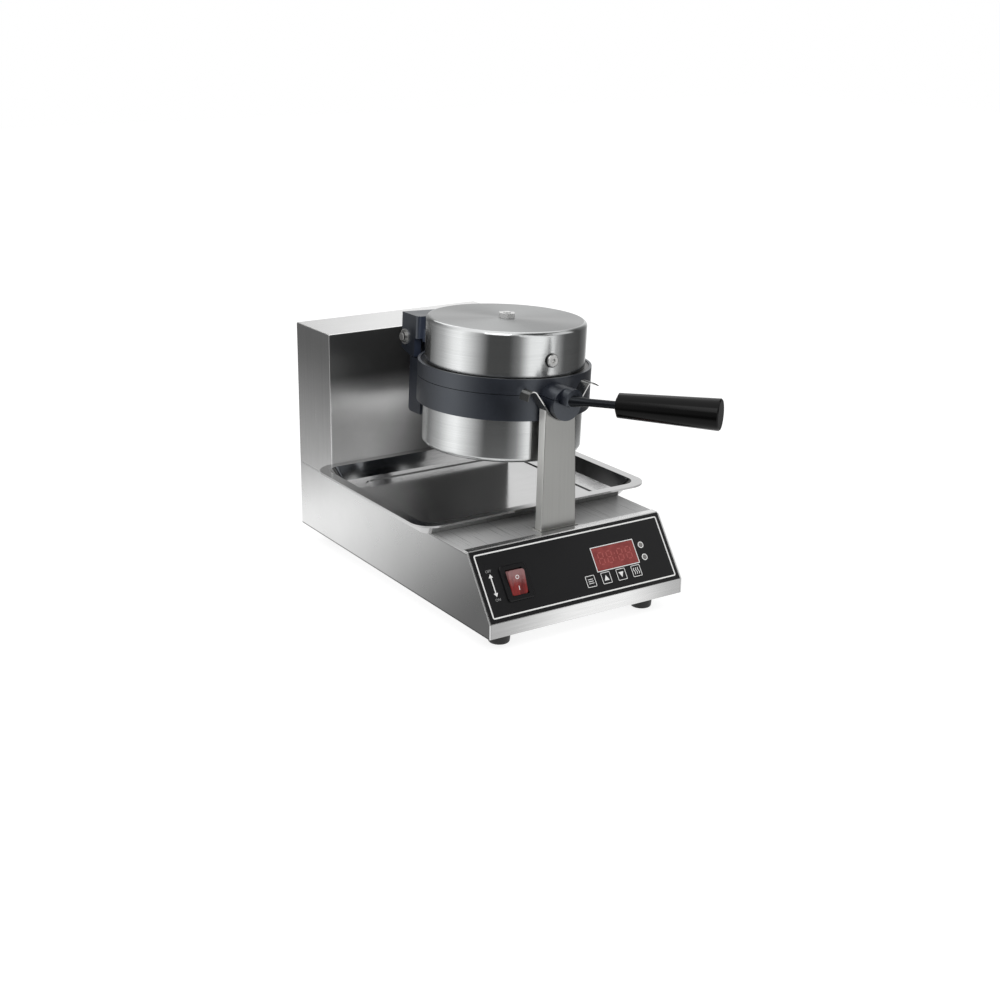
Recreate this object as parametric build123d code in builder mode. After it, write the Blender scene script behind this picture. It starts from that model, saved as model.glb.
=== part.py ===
"""Countertop bubble waffle maker whose round iron turns over on a post and a tower bearing.

Millimetres, +Z up, +X to the operator's right, -Y towards the operator.
The origin is on the table, in the middle of the footprint of the whole object.
"""
import os
from math import atan2, cos, hypot, radians, sin, sqrt, tan

from build123d import *

os.makedirs("parts", exist_ok=True)

# Housing
housing_width = 250.0
housing_depth = 426.4
foot_height = 19.0
lip_height = 15.8
deck_height = 80.9
slope_depth = 45.1
tower_setback = 343.0
tower_height = 252.0
sheet = 1.5
bottom_sheet = 1.2
panel_gap = 0.3
fold_radius = 1.4
seam_flange = 12.0
slope_flange = 8.0
lip_flange = 10.0
wire_hole_radius = 16.0

# Fasteners and feet
foot_top_radius = 13.2
foot_bottom_radius = 11.2
foot_edge_radius = 2.0
front_foot_side_inset = 31.5
rear_foot_side_inset = 35.5
front_foot_setback = 30.3
rear_foot_inset = 40.0
foot_screw_radius = 2.0
foot_screw_head_radius = 4.0
foot_screw_head_height = 3.0
foot_screw_rise = 6.0
foot_pocket_radius = 5.0
foot_pocket_depth = 10.0
cover_screw_radius = 1.5
cover_screw_head_radius = 3.2
cover_screw_head_height = 1.8
cover_screw_head_round = 0.9
cover_screw_length = 6.0
cover_screw_margin = 6.0
bottom_screw_rows = 4
base_screw_low_margin = 19.2
base_screw_top_margin = 15.3
tower_screw_margin = 13.7

# Rear of the housing
vent_length = 60.0
vent_width = 4.0
vent_pitch = 12.0
vent_rows = 6
vent_columns = 2
vent_column_pitch = 84.0
gland_side_margin = 45.0
gland_height = 34.0
gland_hex_radius = 11.0
gland_hex_length = 5.0
gland_nose_radius = 8.5
gland_nose_length = 9.0
gland_nose_round = 2.8
gland_thread_radius = 8.0
gland_thread_length = 14.0
gland_bore_radius = 3.6

# Control panel, measured up the slope from the lip
overlay_side_margin = 0.6
overlay_start = 0.8
overlay_end = 78.0
overlay_thickness = 0.5
window_centre = 50.1
window_height_up = 41.5
window_width = 54.6
window_tall = 25.1
window_proud = 0.3
window_flange = 2.0
window_flange_thickness = 1.0
key_columns = (9.7, 30.0, 50.2, 70.3)
key_names = ("set_key", "up_key", "down_key", "heat_key")
key_row = 20.1
key_width = 12.6
key_tall = 13.4
key_radius = 1.2
key_gap = 0.3
key_proud = 0.4
key_flange = 1.4
key_flange_thickness = 1.0
key_stem_radius = 2.0
key_travel = 0.5
key_rest_gap = 0.8
light_column = 87.0
light_rows = (46.6, 32.7)
light_names = ("timer_light", "heat_light")
light_radius = 2.5
light_gap = 0.2
light_proud = 1.2
light_round = 2.0
light_collar = 0.6
light_collar_height = 1.0
board_depth = 12.4
board_thickness = 1.6
board_centre = 48.0
board_centre_up = 33.0
board_width = 108.0
board_tall = 56.0
spacer_radius = 2.6
spacer_inset = 4.0
module_width = 50.0
module_tall = 20.0
module_gap = 0.2
tact_size = 6.0
tact_height = 3.5
tact_plunger_radius = 1.7
tact_plunger_height = 0.9

# Power switch
switch_centre = -79.0
switch_up = 37.5
bezel_width = 32.0
bezel_tall = 38.0
bezel_thickness = 2.3
bezel_radius = 3.2
bezel_chamfer = 0.75
switch_body_width = 26.0
switch_body_tall = 33.0
switch_body_depth = 24.0
rocker_width = 19.8
rocker_length = 26.0
rocker_rise = 4.6
rocker_tilt = 13.0
rocker_drop = 7.0
rocker_corner = 3.2
rocker_side_gap = 0.4
rocker_end_gap = 0.4
trunnion_radius = 1.5
trunnion_length = 2.0
trunnion_gap = 0.05
switch_pocket_depth = 12.0
blade_width = 6.3
blade_thickness = 0.8
blade_length = 8.0
blade_side = 8.0
blade_step = 10.0

# Post and cradle
post_setback = 58.3
post_depth = 12.2
post_width = 45.0
post_top_width = 38.4
post_rise = 132.0
post_wall = 1.5
post_edge_radius = 1.2
post_foot_margin = 2.0
post_foot_thickness = 1.5
post_bolt_radius = 2.5
post_bolt_head_radius = 4.5
post_bolt_head_height = 3.0
post_bolt_spacing = 24.0
cradle_thickness = 1.2
cradle_width = 15.4
cradle_clearance = 0.5
cradle_angle = 55.0
cradle_bend_radius = 5.5
cradle_bend_rise = 10.5
cradle_left_turn = 75.0
cradle_left_length = 5.5
cradle_right_turn = 29.0
cradle_right_length = 6.9

# Iron: heights are measured from the turning axis, square to the plates
axis_height = 220.0
iron_lean = 2.66
ring_setback = 167.4
ring_radius = 95.6
ring_wall = 3.0
upper_ring_top = 22.2
lower_ring_bottom = -22.6
parting_height = 5.6
parting_gap = 0.6
shelf_inner_radius = 80.5
shelf_depth = 5.15
shelf_thickness = 3.0
plate_rim_gap = 0.3
plate_rim_thickness = 5.0
plate_boss_radius = 80.0
plate_thickness = 17.0
pan_radius = 81.5
pan_depth = 1.5
bubble_radius = 11.5
bubble_pitch = 26.0
bubble_field_radius = 69.5
plate_screw_radius = 1.5
plate_screw_head_radius = 3.0
plate_screw_head_height = 2.0
plate_screw_circle = 84.0
plate_screw_count = 4
drum_radius = 88.2
drum_wall = 1.0
upper_drum_top = 70.7
lower_drum_bottom = -70.4
drum_edge_radius = 5.0
drum_flange_sink = 0.8
heater_radius = 55.0
heater_tube_radius = 4.0
heater_arc = 340.0
heater_pin_radius = 3.2
heater_pin_length = 12.0
insulation_radius = 83.5
insulation_gap = 1.0
centre_bolt_radius = 4.0
centre_nut_radius = 9.6
centre_nut_height = 5.0
centre_bolt_proud = 1.0
bolt_hole_gap = 0.3
side_screw_rise = 40.0
side_screw_radius = 3.0
side_screw_head_radius = 7.6
side_screw_head_height = 3.6
side_screw_head_round = 2.5
side_screw_socket_radius = 2.6
side_screw_socket_depth = 1.8
side_tab_width = 16.0
side_tab_thickness = 2.0
side_tab_gap = 0.3
side_tab_margin = 8.0

# Front hub and handle
hub_radius = 18.0
hub_front_setback = 46.0
hub_root_sink = 2.7
boss_setback = 34.5
boss_half_width = 10.2
boss_top = 18.3
boss_bottom = 1.4
handle_swing = 38.0
handle_incline = 1.64
handle_root_height = 6.0
shank_root_radius = 6.6
shank_length = 16.0
rod_radius = 4.2
rod_root_depth = 7.0
rod_in_grip = 50.0
grip_start = 44.8
grip_length = 107.4
grip_near_radius = 13.0
grip_far_radius = 16.55
grip_near_chamfer = 2.0
grip_far_chamfer = 1.2
grip_face_radius = 9.0

# Lid hinge
bracket_half_width = 45.0
bracket_front_setback = 281.0
bracket_rear_setback = 316.4
bracket_top = 53.6
bracket_rear_bottom = 12.0
bracket_wall = 6.0
bracket_roof = 12.0
bracket_corner = 5.0
edge_tolerance = 0.1
ear_thickness = 8.7
arch_top = 27.5
web_half_width = 33.0
web_top = 42.0
leg_front_setback = 270.0
leg_rear_setback = 296.0
leg_bottom = -58.8
leg_chamfer = 3.0
pin_setback = 308.1
pin_height = 25.9
pin_radius = 5.0
pin_gap = 0.05
knuckle_half_width = 29.0
knuckle_radius = 13.0
washer_radius = 9.0
washer_thickness = 1.5
pin_head_radius = 5.8
pin_head_height = 4.0
spacer_ring_radius = 9.0
spacer_ring_gap = 0.3

# Rear shaft and bearing
shaft_radius = 12.5
shaft_bore = 7.0
shaft_seat = 24.0
shaft_end_setback = 392.0
bearing_width = 72.0
bearing_tall = 54.0
bearing_depth = 24.0
bearing_corner = 9.0
bush_wall = 3.5
bush_gap = 0.05
bearing_screw_radius = 2.5
bearing_screw_head_radius = 4.5
bearing_screw_head_height = 2.4
bearing_screw_across = 28.0
bearing_screw_up = 38.0
bearing_screw_reach = 10.0
shaft_hole_gap = 3.0
collar_radius = 19.0
collar_width = 9.0
collar_gap = 0.4
stop_arm_reach = 29.5
stop_arm_thickness = 8.0
stop_pin_radius = 3.0
stop_pin_circle = 26.0
stop_gap = 0.3

# Drip tray
tray_half_width = 150.5
tray_front_setback = 90.0
tray_tower_gap = 0.5
tray_rim_height = 17.4
tray_rim_width = 11.0
tray_corner_radius = 25.0
tray_inner_corner = 17.0
tray_floor_half_width = 131.5
tray_floor_front = 25.0
tray_floor_rear = 22.0
tray_floor_corner = 12.0
tray_floor_fillet = 5.0
tray_sheet = 0.9
tray_lift = 0.3
tray_edge_drop = 2.2
tray_panel_half_width = 104.0
tray_panel_inset = 24.0
tray_panel_corner = 14.0
tray_panel_sink = 1.2

# Parts inside the base
core_width = 60.0
core_depth = 25.0
core_height = 44.0
coil_width = 36.0
coil_depth = 50.0
coil_height = 26.4
coil_lift = 8.8
coil_corner = 9.0
transformer_side_margin = 63.0
transformer_setback = 230.0
relay_width = 30.0
relay_depth = 20.0
relay_height = 26.0
relay_corner = 1.5
relay_gap = 27.0
terminal_width = 60.0
terminal_depth = 22.0
terminal_height = 18.0
terminal_side_margin = 55.0
terminal_rear_margin = 76.4
terminal_slot_width = 1.6
terminal_slot_depth = 6.0
terminal_ways = 5

# Places that follow from the sizes
swing_cos = cos(radians(handle_swing))
swing_sin = sin(radians(handle_swing))
incline_cos = cos(radians(handle_incline))
incline_sin = sin(radians(handle_incline))
handle_square = sqrt(1 - (swing_cos * incline_cos) ** 2)
handle_length = grip_start + grip_length
grip_end_radius = grip_far_radius - grip_far_chamfer
handle_reach = handle_length * swing_cos * incline_cos + grip_end_radius * handle_square - boss_setback
rear_reach = housing_depth + gland_hex_length + gland_nose_length
front_y = (handle_reach - rear_reach) / 2
rear_y = front_y + housing_depth
half_width = housing_width / 2
base_z = foot_height
lip_z = base_z + lip_height
deck_z = base_z + deck_height
cover_z = deck_z - sheet
tower_y = front_y + tower_setback
tower_z = base_z + tower_height
axis_z = base_z + axis_height
inner_half = half_width - sheet
panel_half = inner_half - panel_gap
slope_angle = atan2(deck_height - lip_height, slope_depth)
slope_top_y = front_y + slope_depth
floor_z = base_z + bottom_sheet

ring_y = front_y + ring_setback
post_y = front_y + post_setback
post_centre_y = post_y + post_depth / 2
hub_front_y = front_y + hub_front_setback
boss_y = front_y + boss_setback
bracket_front_y = front_y + bracket_front_setback
bracket_rear_y = front_y + bracket_rear_setback
leg_front_y = front_y + leg_front_setback
leg_rear_y = front_y + leg_rear_setback
pin_y = front_y + pin_setback
shaft_end_y = front_y + shaft_end_setback
upper_parting = parting_height + parting_gap / 2
lower_parting = parting_height - parting_gap / 2
ring_bore = ring_radius - ring_wall
tab_face_radius = sqrt((drum_radius - drum_wall) ** 2 - (side_tab_width / 2) ** 2) - side_tab_gap
iron_place = Location((0, 0, axis_z), (0, iron_lean, 0))
transformer_x = transformer_side_margin - half_width
transformer_y = front_y + transformer_setback
relay_x = transformer_x + core_width / 2 + relay_gap + relay_width / 2
terminal_x = half_width - terminal_side_margin
terminal_y = rear_y - terminal_rear_margin

handle_root = (0, boss_y, handle_root_height)
handle_across = (swing_cos, swing_sin, 0)
handle_out = (swing_sin * incline_cos, -swing_cos * incline_cos, incline_sin)
handle_axis_plane = Plane(origin=handle_root, x_dir=handle_across, z_dir=handle_out)

slope_plane = Plane(
    origin=(0, front_y, lip_z),
    x_dir=(1, 0, 0),
    z_dir=(0, -sin(slope_angle), cos(slope_angle)),
)
slope_out = Axis((0, front_y, lip_z), (0, -sin(slope_angle), cos(slope_angle)))


def facing(y):
    """Plane at y seen by the operator: local x is X and local y is Z."""
    return Plane(origin=(0, y, 0), x_dir=(1, 0, 0), z_dir=(0, -1, 0))


def iron_level(height):
    """Plane square to the iron's axis of symmetry, centred on the rings."""
    return Plane(origin=(0, ring_y, height))


def on_slope(across, up, out):
    """Point of the slope by its place across, up the slope and out of it."""
    return slope_plane.from_local_coords((across, up, out))


def save(builder, label, place=None):
    """Place, name and write one finished piece."""
    if place is not None:
        builder.part.locate(place)
    builder.part.label = label
    export_step(builder.part, f"parts/{label}.step")


# Folded base cover: both sides and the deck in one sheet
cover_slope_y = front_y + (cover_z - lip_z) / tan(slope_angle)
deck_front_y = slope_top_y + slope_flange / 2
flange_z = floor_z + sheet / 2
rear_flange_y = rear_y - sheet - sheet / 2
post_bolt_spots = [(-post_bolt_spacing / 2, post_centre_y), (post_bolt_spacing / 2, post_centre_y)]
wire_hole_y = (tower_y + rear_y) / 2
base_side_height = cover_z - sheet - floor_z

with BuildPart() as base_cover:
    with BuildSketch(Plane.YZ):
        with BuildLine():
            Polyline(
                (front_y, base_z),
                (front_y, lip_z),
                (cover_slope_y, cover_z),
                (rear_y, cover_z),
                (rear_y, base_z),
                close=True,
            )
        make_face()
    extrude(amount=half_width, both=True)
    long_edges = base_cover.edges().filter_by(Axis.Y).group_by(Axis.Z)[-1]
    fillet(long_edges, fold_radius)
    with BuildSketch(Plane.XY.offset(base_z)):
        with Locations((0, (front_y + rear_y) / 2)):
            Rectangle(2 * inner_half, housing_depth + sheet)
    extrude(amount=cover_z - sheet - base_z, mode=Mode.SUBTRACT)
    with BuildSketch(Plane.XY.offset(base_z)):
        with Locations((0, (front_y + deck_front_y) / 2)):
            Rectangle(2 * inner_half, deck_front_y - front_y)
    extrude(amount=deck_height, mode=Mode.SUBTRACT)
    # Bottom seam flanges
    flange_front_y = front_y + slope_depth
    flange_span = rear_y - sheet - flange_front_y
    with BuildSketch(Plane.XY.offset(floor_z)):
        with Locations(
            (-inner_half + seam_flange / 2, flange_front_y + flange_span / 2),
            (inner_half - seam_flange / 2, flange_front_y + flange_span / 2),
        ):
            Rectangle(seam_flange, flange_span)
    extrude(amount=sheet)
    # Rear seam flanges
    with BuildSketch(facing(rear_y - sheet)):
        with Locations(
            (-inner_half + seam_flange / 2, floor_z + base_side_height / 2),
            (inner_half - seam_flange / 2, floor_z + base_side_height / 2),
        ):
            Rectangle(seam_flange, base_side_height)
    extrude(amount=sheet)
    with BuildSketch(Plane.XY.offset(cover_z)):
        with Locations(post_bolt_spots):
            Circle(post_bolt_radius + bolt_hole_gap)
        with Locations((0, wire_hole_y)):
            Circle(wire_hole_radius)
    extrude(amount=-2 * sheet, mode=Mode.SUBTRACT)
    # Clearance for the screws of the bottom and rear covers
    bottom_screw_pitch = (flange_span - 2 * cover_screw_margin) / (bottom_screw_rows - 1)
    bottom_screw_y = [
        flange_front_y + cover_screw_margin + n * bottom_screw_pitch for n in range(bottom_screw_rows)
    ]
    bottom_screw_spots = [
        (side * (inner_half - seam_flange / 2), y) for side in (-1, 1) for y in bottom_screw_y
    ]
    with BuildSketch(Plane.XY.offset(base_z)):
        with Locations(bottom_screw_spots):
            Circle(cover_screw_radius)
    extrude(amount=cover_screw_length, mode=Mode.SUBTRACT)
    base_screw_z = (floor_z + base_screw_low_margin, floor_z + base_side_height - base_screw_top_margin)
    base_screw_spots = [
        (side * (inner_half - seam_flange / 2), z) for side in (-1, 1) for z in base_screw_z
    ]
    with BuildSketch(facing(rear_y)):
        with Locations(base_screw_spots):
            Circle(cover_screw_radius)
    extrude(amount=cover_screw_length, mode=Mode.SUBTRACT)
save(base_cover, "base_cover")

# Front panel: lip, slope and the flange that laps over the deck
inner_shift = sheet / cos(slope_angle)
lip_inner_z = lip_z + sheet * tan(slope_angle) - inner_shift
slope_inner_y = front_y + (cover_z - lip_z + inner_shift) / tan(slope_angle)
switch_hole_width = switch_body_width + 2 * panel_gap
switch_hole_tall = switch_body_tall + 2 * panel_gap
key_spots = [(column, key_row) for column in key_columns]
light_spots = [(light_column, row) for row in light_rows]


def panel_openings(window_gap):
    """Holes that the panel and its overlay share."""
    with Locations((switch_centre, switch_up)):
        Rectangle(switch_hole_width, switch_hole_tall)
    with Locations((window_centre, window_height_up)):
        Rectangle(window_width + 2 * window_gap, window_tall + 2 * window_gap)
    with Locations(key_spots):
        RectangleRounded(key_width + 2 * key_gap, key_tall + 2 * key_gap, key_radius)
    with Locations(light_spots):
        Circle(light_radius + light_gap)


with BuildPart() as front_panel:
    with BuildSketch(Plane.YZ):
        with BuildLine():
            Polyline(
                (front_y, base_z),
                (front_y, lip_z),
                (slope_top_y, deck_z),
                (slope_top_y + slope_flange, deck_z),
                (slope_top_y + slope_flange, cover_z),
                (slope_inner_y, cover_z),
                (front_y + sheet, lip_inner_z),
                (front_y + sheet, floor_z + sheet),
                (front_y + lip_flange, floor_z + sheet),
                (front_y + lip_flange, floor_z),
                (front_y + sheet, floor_z),
                (front_y + sheet, base_z),
                close=True,
            )
        make_face()
    extrude(amount=panel_half, both=True)
    with BuildSketch(slope_plane.offset(-2 * sheet)):
        panel_openings(panel_gap)
    extrude(amount=3 * sheet, mode=Mode.SUBTRACT)
save(front_panel, "front_panel")

# Bottom plate
front_foot_x = half_width - front_foot_side_inset
rear_foot_x = half_width - rear_foot_side_inset
foot_spots = [
    (-front_foot_x, front_y + front_foot_setback),
    (front_foot_x, front_y + front_foot_setback),
    (-rear_foot_x, rear_y - rear_foot_inset),
    (rear_foot_x, rear_y - rear_foot_inset),
]
bottom_front_y = front_y + sheet + panel_gap
bottom_rear_y = rear_y - sheet - panel_gap
bottom_length = bottom_rear_y - bottom_front_y
bottom_centre_y = (bottom_front_y + bottom_rear_y) / 2

with BuildPart() as bottom_plate:
    with BuildSketch(Plane.XY.offset(base_z)):
        with Locations((0, bottom_centre_y)):
            Rectangle(2 * panel_half, bottom_length)
        with Locations(foot_spots):
            Circle(foot_screw_radius, mode=Mode.SUBTRACT)
        with Locations(bottom_screw_spots):
            Circle(cover_screw_radius, mode=Mode.SUBTRACT)
        with Locations((0, bottom_centre_y)):
            with GridLocations(vent_column_pitch, vent_pitch, vent_columns, vent_rows):
                SlotOverall(vent_length, vent_width, mode=Mode.SUBTRACT)
    extrude(amount=bottom_sheet)
save(bottom_plate, "bottom_plate")

# Rear cover of the base, with the cord gland's hole
base_back_bottom = base_z
base_back_top = cover_z - sheet - panel_gap
base_back_height = base_back_top - base_back_bottom
gland_spot = (half_width - gland_side_margin, base_z + gland_height)

with BuildPart() as base_back:
    with BuildSketch(facing(rear_y)):
        with Locations((0, base_back_bottom + base_back_height / 2)):
            Rectangle(2 * panel_half, base_back_height)
        with Locations(base_screw_spots):
            Circle(cover_screw_radius, mode=Mode.SUBTRACT)
        with Locations(gland_spot):
            Circle(gland_thread_radius, mode=Mode.SUBTRACT)
    extrude(amount=sheet)
save(base_back, "base_back")

# Tower shell: front, top and two sides in one sheet, open at the back and below
tower_depth = rear_y - tower_y
tower_rise = tower_z - cover_z
tower_inner_top = tower_z - sheet
shaft_hole_radius = shaft_radius + shaft_hole_gap
bearing_screw_spots = [
    (side * bearing_screw_across / 2, axis_z + end * bearing_screw_up / 2)
    for side in (-1, 1)
    for end in (-1, 1)
]
tower_flange_rise = tower_inner_top - cover_z
tower_screw_z = (
    cover_z + tower_screw_margin,
    cover_z + tower_flange_rise / 2,
    tower_inner_top - tower_screw_margin,
)
tower_screw_spots = [
    (side * (inner_half - seam_flange / 2), z) for side in (-1, 1) for z in tower_screw_z
]

with BuildPart() as tower_shell:
    with BuildSketch(Plane.XY.offset(cover_z)):
        with Locations((0, (tower_y + rear_y) / 2)):
            Rectangle(housing_width, tower_depth)
    extrude(amount=tower_rise)
    fold_edges = tower_shell.edges().filter_by(Axis.Z).group_by(Axis.Y)[0]
    fold_edges += tower_shell.edges().filter_by(Axis.Y).group_by(Axis.Z)[-1]
    fold_edges += tower_shell.edges().filter_by(Axis.X).group_by(Axis.Z)[-1].sort_by(Axis.Y)[0:1]
    fillet(fold_edges, fold_radius)
    with BuildSketch(Plane.XY.offset(cover_z)):
        with Locations((0, (tower_y + sheet + rear_y) / 2)):
            Rectangle(2 * inner_half, tower_depth - sheet)
    extrude(amount=tower_rise - sheet, mode=Mode.SUBTRACT)
    with BuildSketch(facing(rear_y - sheet)):
        with Locations(
            (-inner_half + seam_flange / 2, cover_z + tower_flange_rise / 2),
            (inner_half - seam_flange / 2, cover_z + tower_flange_rise / 2),
        ):
            Rectangle(seam_flange, tower_flange_rise)
    extrude(amount=sheet)
    with BuildSketch(facing(rear_y)):
        with Locations(tower_screw_spots):
            Circle(cover_screw_radius)
    extrude(amount=cover_screw_length, mode=Mode.SUBTRACT)
    with BuildSketch(facing(tower_y)):
        with Locations((0, axis_z)):
            Circle(shaft_hole_radius)
        with Locations(bearing_screw_spots):
            Circle(bearing_screw_radius)
    extrude(amount=-sheet, mode=Mode.SUBTRACT)
save(tower_shell, "tower_shell")

# Vented rear cover of the tower
tower_back_bottom = cover_z + panel_gap
tower_back_top = tower_inner_top - panel_gap
tower_back_centre = (tower_back_bottom + tower_back_top) / 2

with BuildPart() as tower_back:
    with BuildSketch(facing(rear_y)):
        with Locations((0, tower_back_centre)):
            Rectangle(2 * panel_half, tower_back_top - tower_back_bottom)
        with Locations(tower_screw_spots):
            Circle(cover_screw_radius, mode=Mode.SUBTRACT)
        with Locations((0, tower_back_centre)):
            with GridLocations(vent_column_pitch, vent_pitch, vent_columns, vent_rows):
                SlotOverall(vent_length, vent_width, mode=Mode.SUBTRACT)
    extrude(amount=sheet)
save(tower_back, "tower_back")

# Pan-head screws of the rear covers and of the bottom plate
with BuildPart() as rear_screws:
    with BuildSketch(facing(rear_y)):
        with Locations(base_screw_spots + tower_screw_spots):
            Circle(cover_screw_radius)
    extrude(amount=cover_screw_length)
    with BuildSketch(facing(rear_y)):
        with Locations(base_screw_spots + tower_screw_spots):
            Circle(cover_screw_head_radius)
    extrude(amount=-cover_screw_head_height)
    fillet(rear_screws.edges().filter_by(GeomType.CIRCLE).group_by(Axis.Y)[-1], cover_screw_head_round)
save(rear_screws, "rear_screws")

with BuildPart() as bottom_screws:
    with BuildSketch(Plane.XY.offset(base_z)):
        with Locations(bottom_screw_spots):
            Circle(cover_screw_radius)
    extrude(amount=cover_screw_length)
    with BuildSketch(Plane.XY.offset(base_z)):
        with Locations(bottom_screw_spots):
            Circle(cover_screw_head_radius)
    extrude(amount=-cover_screw_head_height)
    fillet(bottom_screws.edges().filter_by(GeomType.CIRCLE).group_by(Axis.Z)[0], cover_screw_head_round)
save(bottom_screws, "bottom_screws")

# Rubber feet and the screws that hold them
with BuildPart() as feet:
    for spot in foot_spots:
        with BuildSketch(Plane(origin=(spot[0], spot[1], 0))):
            Circle(foot_bottom_radius)
        with BuildSketch(Plane(origin=(spot[0], spot[1], foot_height))):
            Circle(foot_top_radius)
        loft()
    fillet(feet.edges().filter_by(GeomType.CIRCLE).group_by(Axis.Z)[0], foot_edge_radius)
    with BuildSketch(Plane.XY):
        with Locations(foot_spots):
            Circle(foot_pocket_radius)
    extrude(amount=foot_pocket_depth, mode=Mode.SUBTRACT)
    with BuildSketch(Plane.XY):
        with Locations(foot_spots):
            Circle(foot_screw_radius)
    extrude(amount=foot_height, mode=Mode.SUBTRACT)
save(feet, "feet")

with BuildPart() as foot_screws:
    with BuildSketch(Plane.XY.offset(foot_pocket_depth)):
        with Locations(foot_spots):
            Circle(foot_screw_radius)
    extrude(amount=foot_height - foot_pocket_depth + foot_screw_rise)
    with BuildSketch(Plane.XY.offset(foot_pocket_depth)):
        with Locations(foot_spots):
            Circle(foot_screw_head_radius)
    extrude(amount=-foot_screw_head_height)
save(foot_screws, "foot_screws")

# Control overlay
with BuildPart() as control_overlay:
    with BuildSketch(slope_plane):
        with Locations((0, (overlay_start + overlay_end) / 2)):
            Rectangle(2 * (panel_half - overlay_side_margin), overlay_end - overlay_start)
    extrude(amount=overlay_thickness)
    with BuildSketch(slope_plane):
        panel_openings(panel_gap / 2)
    extrude(amount=overlay_thickness, mode=Mode.SUBTRACT)
save(control_overlay, "control_overlay")

# Red display window, held behind the panel by its flange
window_plane = Plane(
    origin=on_slope(window_centre, window_height_up, 0), x_dir=slope_plane.x_dir, z_dir=slope_plane.z_dir
)
with BuildPart() as display_window:
    with BuildSketch(window_plane.offset(-sheet)):
        Rectangle(window_width, window_tall)
    extrude(amount=sheet + overlay_thickness + window_proud)
    with BuildSketch(window_plane.offset(-sheet)):
        Rectangle(window_width + 2 * window_flange, window_tall)
    extrude(amount=-window_flange_thickness)
save(display_window, "display_window")

# Display module between the window and the board
module_top = sheet + window_flange_thickness + module_gap
with BuildPart() as display_module:
    with BuildSketch(window_plane.offset(-board_depth)):
        Rectangle(module_width, module_tall)
    extrude(amount=board_depth - module_top)
save(display_module, "display_module")

# Control board on four spacers
board_plane = Plane(
    origin=on_slope(board_centre, board_centre_up, -board_depth),
    x_dir=slope_plane.x_dir,
    z_dir=slope_plane.z_dir,
)
spacer_across = board_width - 2 * spacer_inset
spacer_up = board_tall - 2 * spacer_inset
with BuildPart() as control_board:
    with BuildSketch(board_plane):
        Rectangle(board_width, board_tall)
    extrude(amount=-board_thickness)
save(control_board, "control_board")

with BuildPart() as board_spacers:
    with BuildSketch(board_plane):
        with GridLocations(spacer_across, spacer_up, 2, 2):
            Circle(spacer_radius)
    extrude(amount=board_depth - sheet)
save(board_spacers, "board_spacers")

# Keys with a flange behind the panel and a stem above the tact switch
tact_top = board_depth - tact_height - tact_plunger_height
key_flange_top = sheet + key_gap
for column, key_name in zip(key_columns, key_names):
    key_plane = Plane(
        origin=on_slope(column, key_row, 0), x_dir=slope_plane.x_dir, z_dir=slope_plane.z_dir
    )
    with BuildPart() as key:
        with BuildSketch(key_plane.offset(-key_flange_top)):
            RectangleRounded(key_width, key_tall, key_radius)
        extrude(amount=key_flange_top + overlay_thickness + key_proud)
        with BuildSketch(key_plane.offset(-key_flange_top)):
            Rectangle(key_width + 2 * key_flange, key_tall + 2 * key_flange)
        extrude(amount=-key_flange_thickness)
        with BuildSketch(key_plane.offset(-key_flange_top)):
            Circle(key_stem_radius)
        extrude(amount=-(tact_top - key_rest_gap - key_flange_top))
    save(key, key_name)

with BuildPart() as tact_switches:
    for column in key_columns:
        with BuildSketch(
            Plane(
                origin=on_slope(column, key_row, -board_depth),
                x_dir=slope_plane.x_dir,
                z_dir=slope_plane.z_dir,
            )
        ) as tact_foot:
            Rectangle(tact_size, tact_size)
        extrude(amount=tact_height)
        with BuildSketch(
            Plane(
                origin=on_slope(column, key_row, -board_depth + tact_height),
                x_dir=slope_plane.x_dir,
                z_dir=slope_plane.z_dir,
            )
        ) as tact_head:
            Circle(tact_plunger_radius)
        extrude(amount=tact_plunger_height)
save(tact_switches, "tact_switches")

# Indicator lights
for row, light_name in zip(light_rows, light_names):
    light_plane = Plane(
        origin=on_slope(light_column, row, -board_depth), x_dir=slope_plane.x_dir, z_dir=slope_plane.z_dir
    )
    with BuildPart() as light:
        with BuildSketch(light_plane):
            Circle(light_radius)
        extrude(amount=board_depth + overlay_thickness + light_proud)
        fillet(light.faces().sort_by(slope_out)[-1].edges(), light_round)
        with BuildSketch(light_plane):
            Circle(light_radius + light_collar)
        extrude(amount=light_collar_height)
    save(light, light_name)

# Rocker switch: housing with a bezel, and the rocker on its two trunnions
switch_plane = Plane(
    origin=on_slope(switch_centre, switch_up, 0), x_dir=slope_plane.x_dir, z_dir=slope_plane.z_dir
)
rocker_reach = hypot(rocker_length / 2, rocker_rise)
pocket_width = rocker_width + 2 * rocker_side_gap
pocket_tall = 2 * (rocker_reach + rocker_end_gap)
rocker_pivot = on_slope(switch_centre, switch_up, 0)
rocker_angle = slope_angle + radians(rocker_tilt)
rocker_plane = Plane(
    origin=rocker_pivot, x_dir=(0, cos(rocker_angle), sin(rocker_angle)), z_dir=(1, 0, 0)
)
rocker_face_plane = Plane(
    origin=rocker_pivot, x_dir=(1, 0, 0), z_dir=(0, -sin(rocker_angle), cos(rocker_angle))
)

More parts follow.
